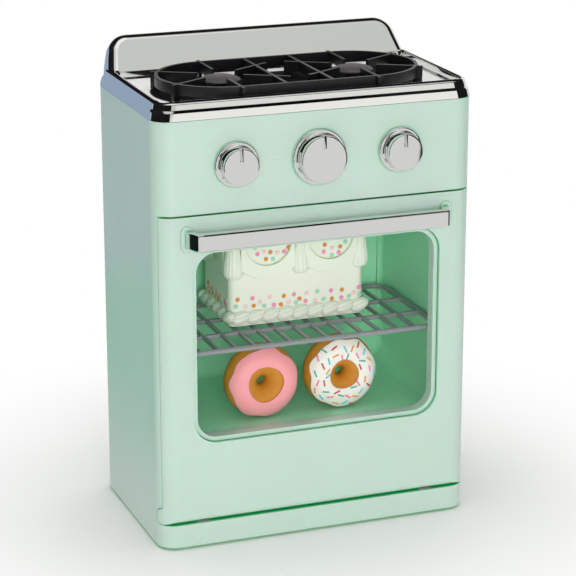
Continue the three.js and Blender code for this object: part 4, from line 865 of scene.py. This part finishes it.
# %% [markdown]
# ## Doughnuts
# Each doughnut stands on its edge on the oven floor. The dough is a torus, and the icing is the
# front half of a slightly larger torus whose edges run in waves.

# %% Dough
DOUGH_RING, DOUGH_TUBE, DOUGH_DEPTH = 14.2, 11.2, 11
COAT_TUBE, COAT_DEPTH, COAT_EDGE = 11.6, 11.35, 23.4
DOUGH_X, DOUGH_Y, DOUGH_HEIGHT = 28.3, -31, 99.75


def ring_piece(name, tube_radius, tube_depth, around=96, across=32):
    deselect_all()
    bpy.ops.mesh.primitive_torus_add(major_radius=DOUGH_RING * MM, minor_radius=tube_radius * MM,
                                     major_segments=around, minor_segments=across)
    piece = bpy.context.active_object
    piece.name = name
    piece.scale = (1, 1, tube_depth / tube_radius)
    return settle(piece)


# %% [markdown]
# The icing starts as the half of the ring that lies above two circles, and its free edges are then
# moved in and out by a few smooth waves. Solidify gives it a thickness, and subdivision a round rim.

# %% Icing
def icing_coat(name, inner_edge, seed):
    coat = ring_piece(name, COAT_TUBE, COAT_DEPTH, 144, 48)
    inner_turn, outer_turn = (math.acos((edge - DOUGH_RING) / COAT_TUBE) for edge in (inner_edge, COAT_EDGE))
    wave = random.Random(seed)
    phases = [wave.uniform(0, 2 * math.pi) for _ in range(4)]
    choose(coat, "FACE", lambda centre, normal: centre.z < 0)
    bpy.ops.mesh.delete(type="FACE")
    bpy.ops.object.mode_set(mode="OBJECT")
    for corner in coat.data.vertices:
        x, y, z = corner.co / MM
        around = math.atan2(y, x)
        share = math.atan2(z / COAT_DEPTH, (math.hypot(x, y) - DOUGH_RING) / COAT_TUBE) / math.pi
        swing = (0.6 * math.sin(7 * around + phases[0]) + 0.4 * math.sin(5 * around + phases[1])
                 + 0.25 * math.sin(11 * around + phases[2]))
        first = outer_turn + 0.12 * swing
        last = inner_turn + 0.03 * math.sin(3 * around + phases[3])
        turn = first + (last - first) * min(max(share, 0), 1)
        radius, height = DOUGH_RING + COAT_TUBE * math.cos(turn), COAT_DEPTH * math.sin(turn)
        corner.co = Vector((radius * math.cos(around), radius * math.sin(around), height)) * MM
    add_modifier(coat, "SOLIDIFY", thickness=1.5 * MM, offset=0.6)
    add_modifier(coat, "SUBSURF", levels=1, render_levels=1)
    bpy.ops.object.shade_smooth()
    return coat


for flavour, side, icing_pvc, hole, seed in (("pink", -1, pink_pvc, 12.4, 3), ("white", 1, white_pvc, 10.5, 5)):
    body, stand = f"doughnut_{flavour}", (side * DOUGH_X, DOUGH_Y, DOUGH_HEIGHT)
    dough = ring_piece(f"{body}_ring", DOUGH_TUBE, DOUGH_DEPTH)
    bpy.ops.object.shade_smooth()
    finish(place(dough, stand, (90, 0, 0)), dough_pvc, body, "dough_plastic", body)
    coat = icing_coat(f"{body}_coat", hole, seed)
    finish(place(coat, stand, (90, 0, 0)), icing_pvc, body, f"{flavour}_icing", f"doughnut_icing_{flavour}")

# %% [markdown]
# Sugar strands lie on the pale icing in five colours. Each is a tiny rod with round ends, laid flat on
# the coat. Strands of one colour step round the ring while their place across it changes, and a
# seeded chance shifts and turns each a little, so that they don't lie across each other.

# %% Sugar strands
strand_colours = {"blue": "#5fc4da", "pink": "#f07fae", "red": "#d2505a", "orange": "#e9a05a",
                  "teal": "#4fb5a8"}
strand_profile = [(0.2, -2.5), (0.5, -2.3), (0.65, -1.9), (0.65, 1.9), (0.5, 2.3), (0.2, 2.5)]
strand = turned("strand_master", strand_profile, 8)
bpy.ops.object.shade_smooth()
chance = random.Random(11)
for order, (tint, code) in enumerate(strand_colours.items()):
    strands = []
    for step in range(8):
        around = 2 * math.pi * (step + order / 5 + chance.uniform(-0.06, 0.06)) / 8
        rise = 0.85 + 0.85 * ((step + 2 * order) % 5 + chance.uniform(-0.3, 0.3)) / 4
        radius = DOUGH_RING + (COAT_TUBE + 1.05) * math.cos(rise)
        height = (COAT_DEPTH + 1.05) * math.sin(rise)
        tilt = math.atan2(math.cos(rise), math.sin(rise))
        twin = duplicate(strand, turn=(90, 0, chance.uniform(0, 180)))
        place(twin, (0, 0, 0), (0, math.degrees(tilt), 0))
        place(twin, (radius, 0, height))
        place(twin, (0, 0, 0), (0, 0, math.degrees(around)))
        strands.append(place(twin, (DOUGH_X, DOUGH_Y, DOUGH_HEIGHT), (90, 0, 0)))
    sugar = moulded(f"sugar_strand_{tint}", code, 0.35, wave_mm=1.5)
    finish(gather(f"doughnut_strands_{tint}", strands), sugar, "doughnut_white", "white_icing")
bpy.data.objects.remove(strand)

# %% [markdown]
# ## Finishes of the solids that stay
# The plain covers, pins and screws keep their solids and only get the right finish.

# %% Finishes of plain solids
for name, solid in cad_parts.items():
    if "screw" in name or "pin" in name or name == "catch_plate":
        finish_of = steel
    elif name == "catch_magnet":
        finish_of = magnet_ferrite
    elif "retainer" in name:
        finish_of = dark_abs
    else:
        finish_of = mint_abs
    solid.data.materials.clear()
    solid.data.materials.append(finish_of)
print("plain solids finished")

# %% [markdown]
# ## Studio
# The floor is pale paper. Near the oven it takes the soft shadow, and further out it is as white as
# the surround. Mirrored rays see it pale, and green behind on the left, where the side face mirrors
# it. From here on, distances are in metres.

# %% Floor
SHADOW_TO, WHITE_FROM = 0.12, 0.34
deselect_all()
bpy.ops.mesh.primitive_plane_add(size=60, location=(0, 0, -0.0003))
floor = bpy.context.active_object
floor.name = "studio_floor"
material, tree, shader = new_material("studio_paper_white", {"Base Color": colour("#f4f4f2"), "Roughness": 0.9})
spot = place_on(tree)
distance = add_node(tree, "ShaderNodeVectorMath", {"operation": "LENGTH", 0: spot}).outputs["Value"]
far = add_node(tree, "ShaderNodeMapRange", {
    "interpolation_type": "SMOOTHSTEP", "Value": distance, "From Min": SHADOW_TO, "From Max": WHITE_FROM})
path = add_node(tree, "ShaderNodeLightPath").outputs
seen_far = maths(tree, "MULTIPLY", path["Is Camera Ray"], far.outputs["Result"])
glowing = maths(tree, "MAXIMUM", seen_far, path["Is Glossy Ray"])
where = axes(tree, spot)
back_left = maths(tree, "MULTIPLY", ramp(tree, where["Y"], -0.05, 0.15), ramp(tree, where["X"], -0.1, -0.2))
mirrored = mix(tree, back_left, colour("#e3e3e3"), colour("#1fb79a"))
glow = mix(tree, path["Is Glossy Ray"], colour("#ffffff"), mirrored)
paper_glow = add_node(tree, "ShaderNodeEmission", {"Strength": 1.0, "Color": glow}).outputs["Emission"]
blend = add_node(tree, "ShaderNodeMixShader", {0: glowing, 1: shader.outputs["BSDF"], 2: paper_glow})
tree.links.new(blend.outputs["Shader"], tree.nodes["Material Output"].inputs["Surface"])
floor.data.materials.append(material)
print("floor ready")

# %% [markdown]
# Chrome is only as lively as the room that it mirrors. Here the room is white overhead, dark at middle
# height and grey near the floor, so that round edges show thin black lines between pale faces. Each
# part of it is a ramp over the height of the mirrored ray, and the parts fade into each other.

# %% Surround
ROOM_STRENGTH = 0.45
world = bpy.data.worlds.new("studio_surround")
bpy.context.scene.world = world
world.use_nodes = True
tree = world.node_tree
backdrop = tree.nodes["Background"]
path = add_node(tree, "ShaderNodeLightPath").outputs
facing = axes(tree, place_on(tree))
room_stops = {
    "front": ((0.17, "#fbfaf6"), (0.24, "#cfcfcd"), (0.33, "#cfcfcd"), (0.4, "#0c0b0c"), (0.74, "#0c0b0c"),
              (0.8, "#d0d2cf"), (0.9, "#d4d6d3"), (0.94, "#ffffff")),
    "back_right": ((0.36, "#f2f0ed"), (0.44, "#1a1718"), (0.95, "#1a1718"), (0.99, "#ffffff")),
    "side": ((0.02, "#b4b4b2"), (0.08, "#1a1718"), (0.95, "#1a1718"), (0.99, "#ffffff")),
    "back_left": ((0.1, "#b9c9e0"), (0.2, "#1a1718"), (0.95, "#1a1718"), (0.99, "#ffffff")),
}
rooms = {}
for part, stops in room_stops.items():
    node = add_node(tree, "ShaderNodeValToRGB", {"Fac": facing["Z"]})
    elements = node.color_ramp.elements
    while len(elements) < len(stops):
        elements.new(0.5)
    for element, (height, code) in zip(elements, stops):
        element.position = height
        element.color = colour(code)
    rooms[part] = node.outputs["Color"]


def crossing(axis, low, high, before, after):
    return mix(tree, ramp(tree, facing[axis], low, high), before, after)


back_room = crossing("X", 0.1, 0.2, rooms["back_left"], rooms["back_right"])
front_and_back = crossing("Y", -0.15, 0.15, rooms["front"], back_room)
side_room = crossing("Y", 0.15, 0.35, rooms["side"], rooms["back_right"])
whole_room = crossing("X", 0.5, 0.65, front_and_back, side_room)
mirrored = mix(tree, path["Is Glossy Ray"], colour("#ffffff"), whole_room)
seen = maths(tree, "MAXIMUM", path["Is Camera Ray"], path["Is Glossy Ray"])
tree.links.new(mirrored, backdrop.inputs["Color"])
tree.links.new(ramp(tree, seen, 0, 1, ROOM_STRENGTH, 1.0), backdrop.inputs["Strength"])
print("surround ready")

# %% [markdown]
# Black cards stand in front and on both sides, and a bluish one, like a window, behind on the left.
# Only mirrored rays see them: they darken the round corners and tint the hob's side. Each card is
# given by its foot, its height and its corners on the floor.

# %% Cards
black_card = new_material("black_card", {"Base Color": colour("#0c0b0c"), "Roughness": 0.9})[0]
blue_card = new_material("window_blue_card", {
    "Base Color": colour("#0c0b0c"), "Emission Color": colour("#a9bfda"), "Emission Strength": 0.75})[0]
for name, paint, foot, height, corners in (
        ("front_card", black_card, 0.3, 0.8, ((-0.2, -0.62), (-0.36, -0.6))),
        ("left_card", black_card, 0, 1.1, ((-0.36, -0.6), (-0.62, -0.2), (-0.6, 0.1), (-0.66, 0.36))),
        ("right_card", black_card, 0, 1.1, ((0.4, -0.66), (0.66, -0.3), (0.68, 0.1))),
        ("window_card", blue_card, 0, 0.45, ((-0.5, 0.38), (-0.38, 0.52), (-0.1, 0.62)))):
    for start, end in zip(corners, corners[1:]):
        start, end = Vector(start), Vector(end)
        deselect_all()
        bpy.ops.mesh.primitive_cube_add(size=1, location=(*((start + end) / 2), foot + height / 2),
                                        scale=((end - start).length, 0.002, height),
                                        rotation=(0, 0, math.atan2(end.y - start.y, end.x - start.x)))
        card = bpy.context.active_object
        card.name = name
        card.data.materials.append(paint)
        card.visible_camera = False
        card.visible_diffuse = False
        card.visible_shadow = False

# %% [markdown]
# Two large soft lamps light the oven, one beside the camera and one overhead. Mirrored rays don't
# see them, so the chrome shows the room and no bright squares.

# %% Lamps
def lamp(name, power, size, where, aim):
    bpy.ops.object.light_add(type="AREA", location=where)
    light = bpy.context.active_object
    light.name = name
    light.data.shape = "RECTANGLE"
    light.data.size, light.data.size_y = size
    light.data.energy = power
    light.rotation_euler = (Vector(aim) - Vector(where)).to_track_quat("-Z", "Y").to_euler()
    light.visible_glossy = False


lamp("front_softbox", 20, (1.0, 1.0), (-0.42, -1.78, 0.45), (0, 0, 0.15))
lamp("top_softbox", 14, (1.2, 1.0), (0, 0.1, 1.7), (0, 0, 0.2))
print("lamps ready")

# %% [markdown]
# The camera stands far off with a long lens, a little to the left and above, as for a catalogue.

# %% Camera
deselect_all()
bpy.ops.object.camera_add(location=(-0.5197, -1.3855, 0.6114),
                          rotation=(math.radians(72.74), 0, math.radians(-20.69)))
camera = bpy.context.active_object
camera.name = "photo_camera"
camera.data.lens = 141.99
camera.data.sensor_width = 36
bpy.context.scene.camera = camera
bpy.context.scene.view_settings.view_transform = "Standard"
print("camera ready")
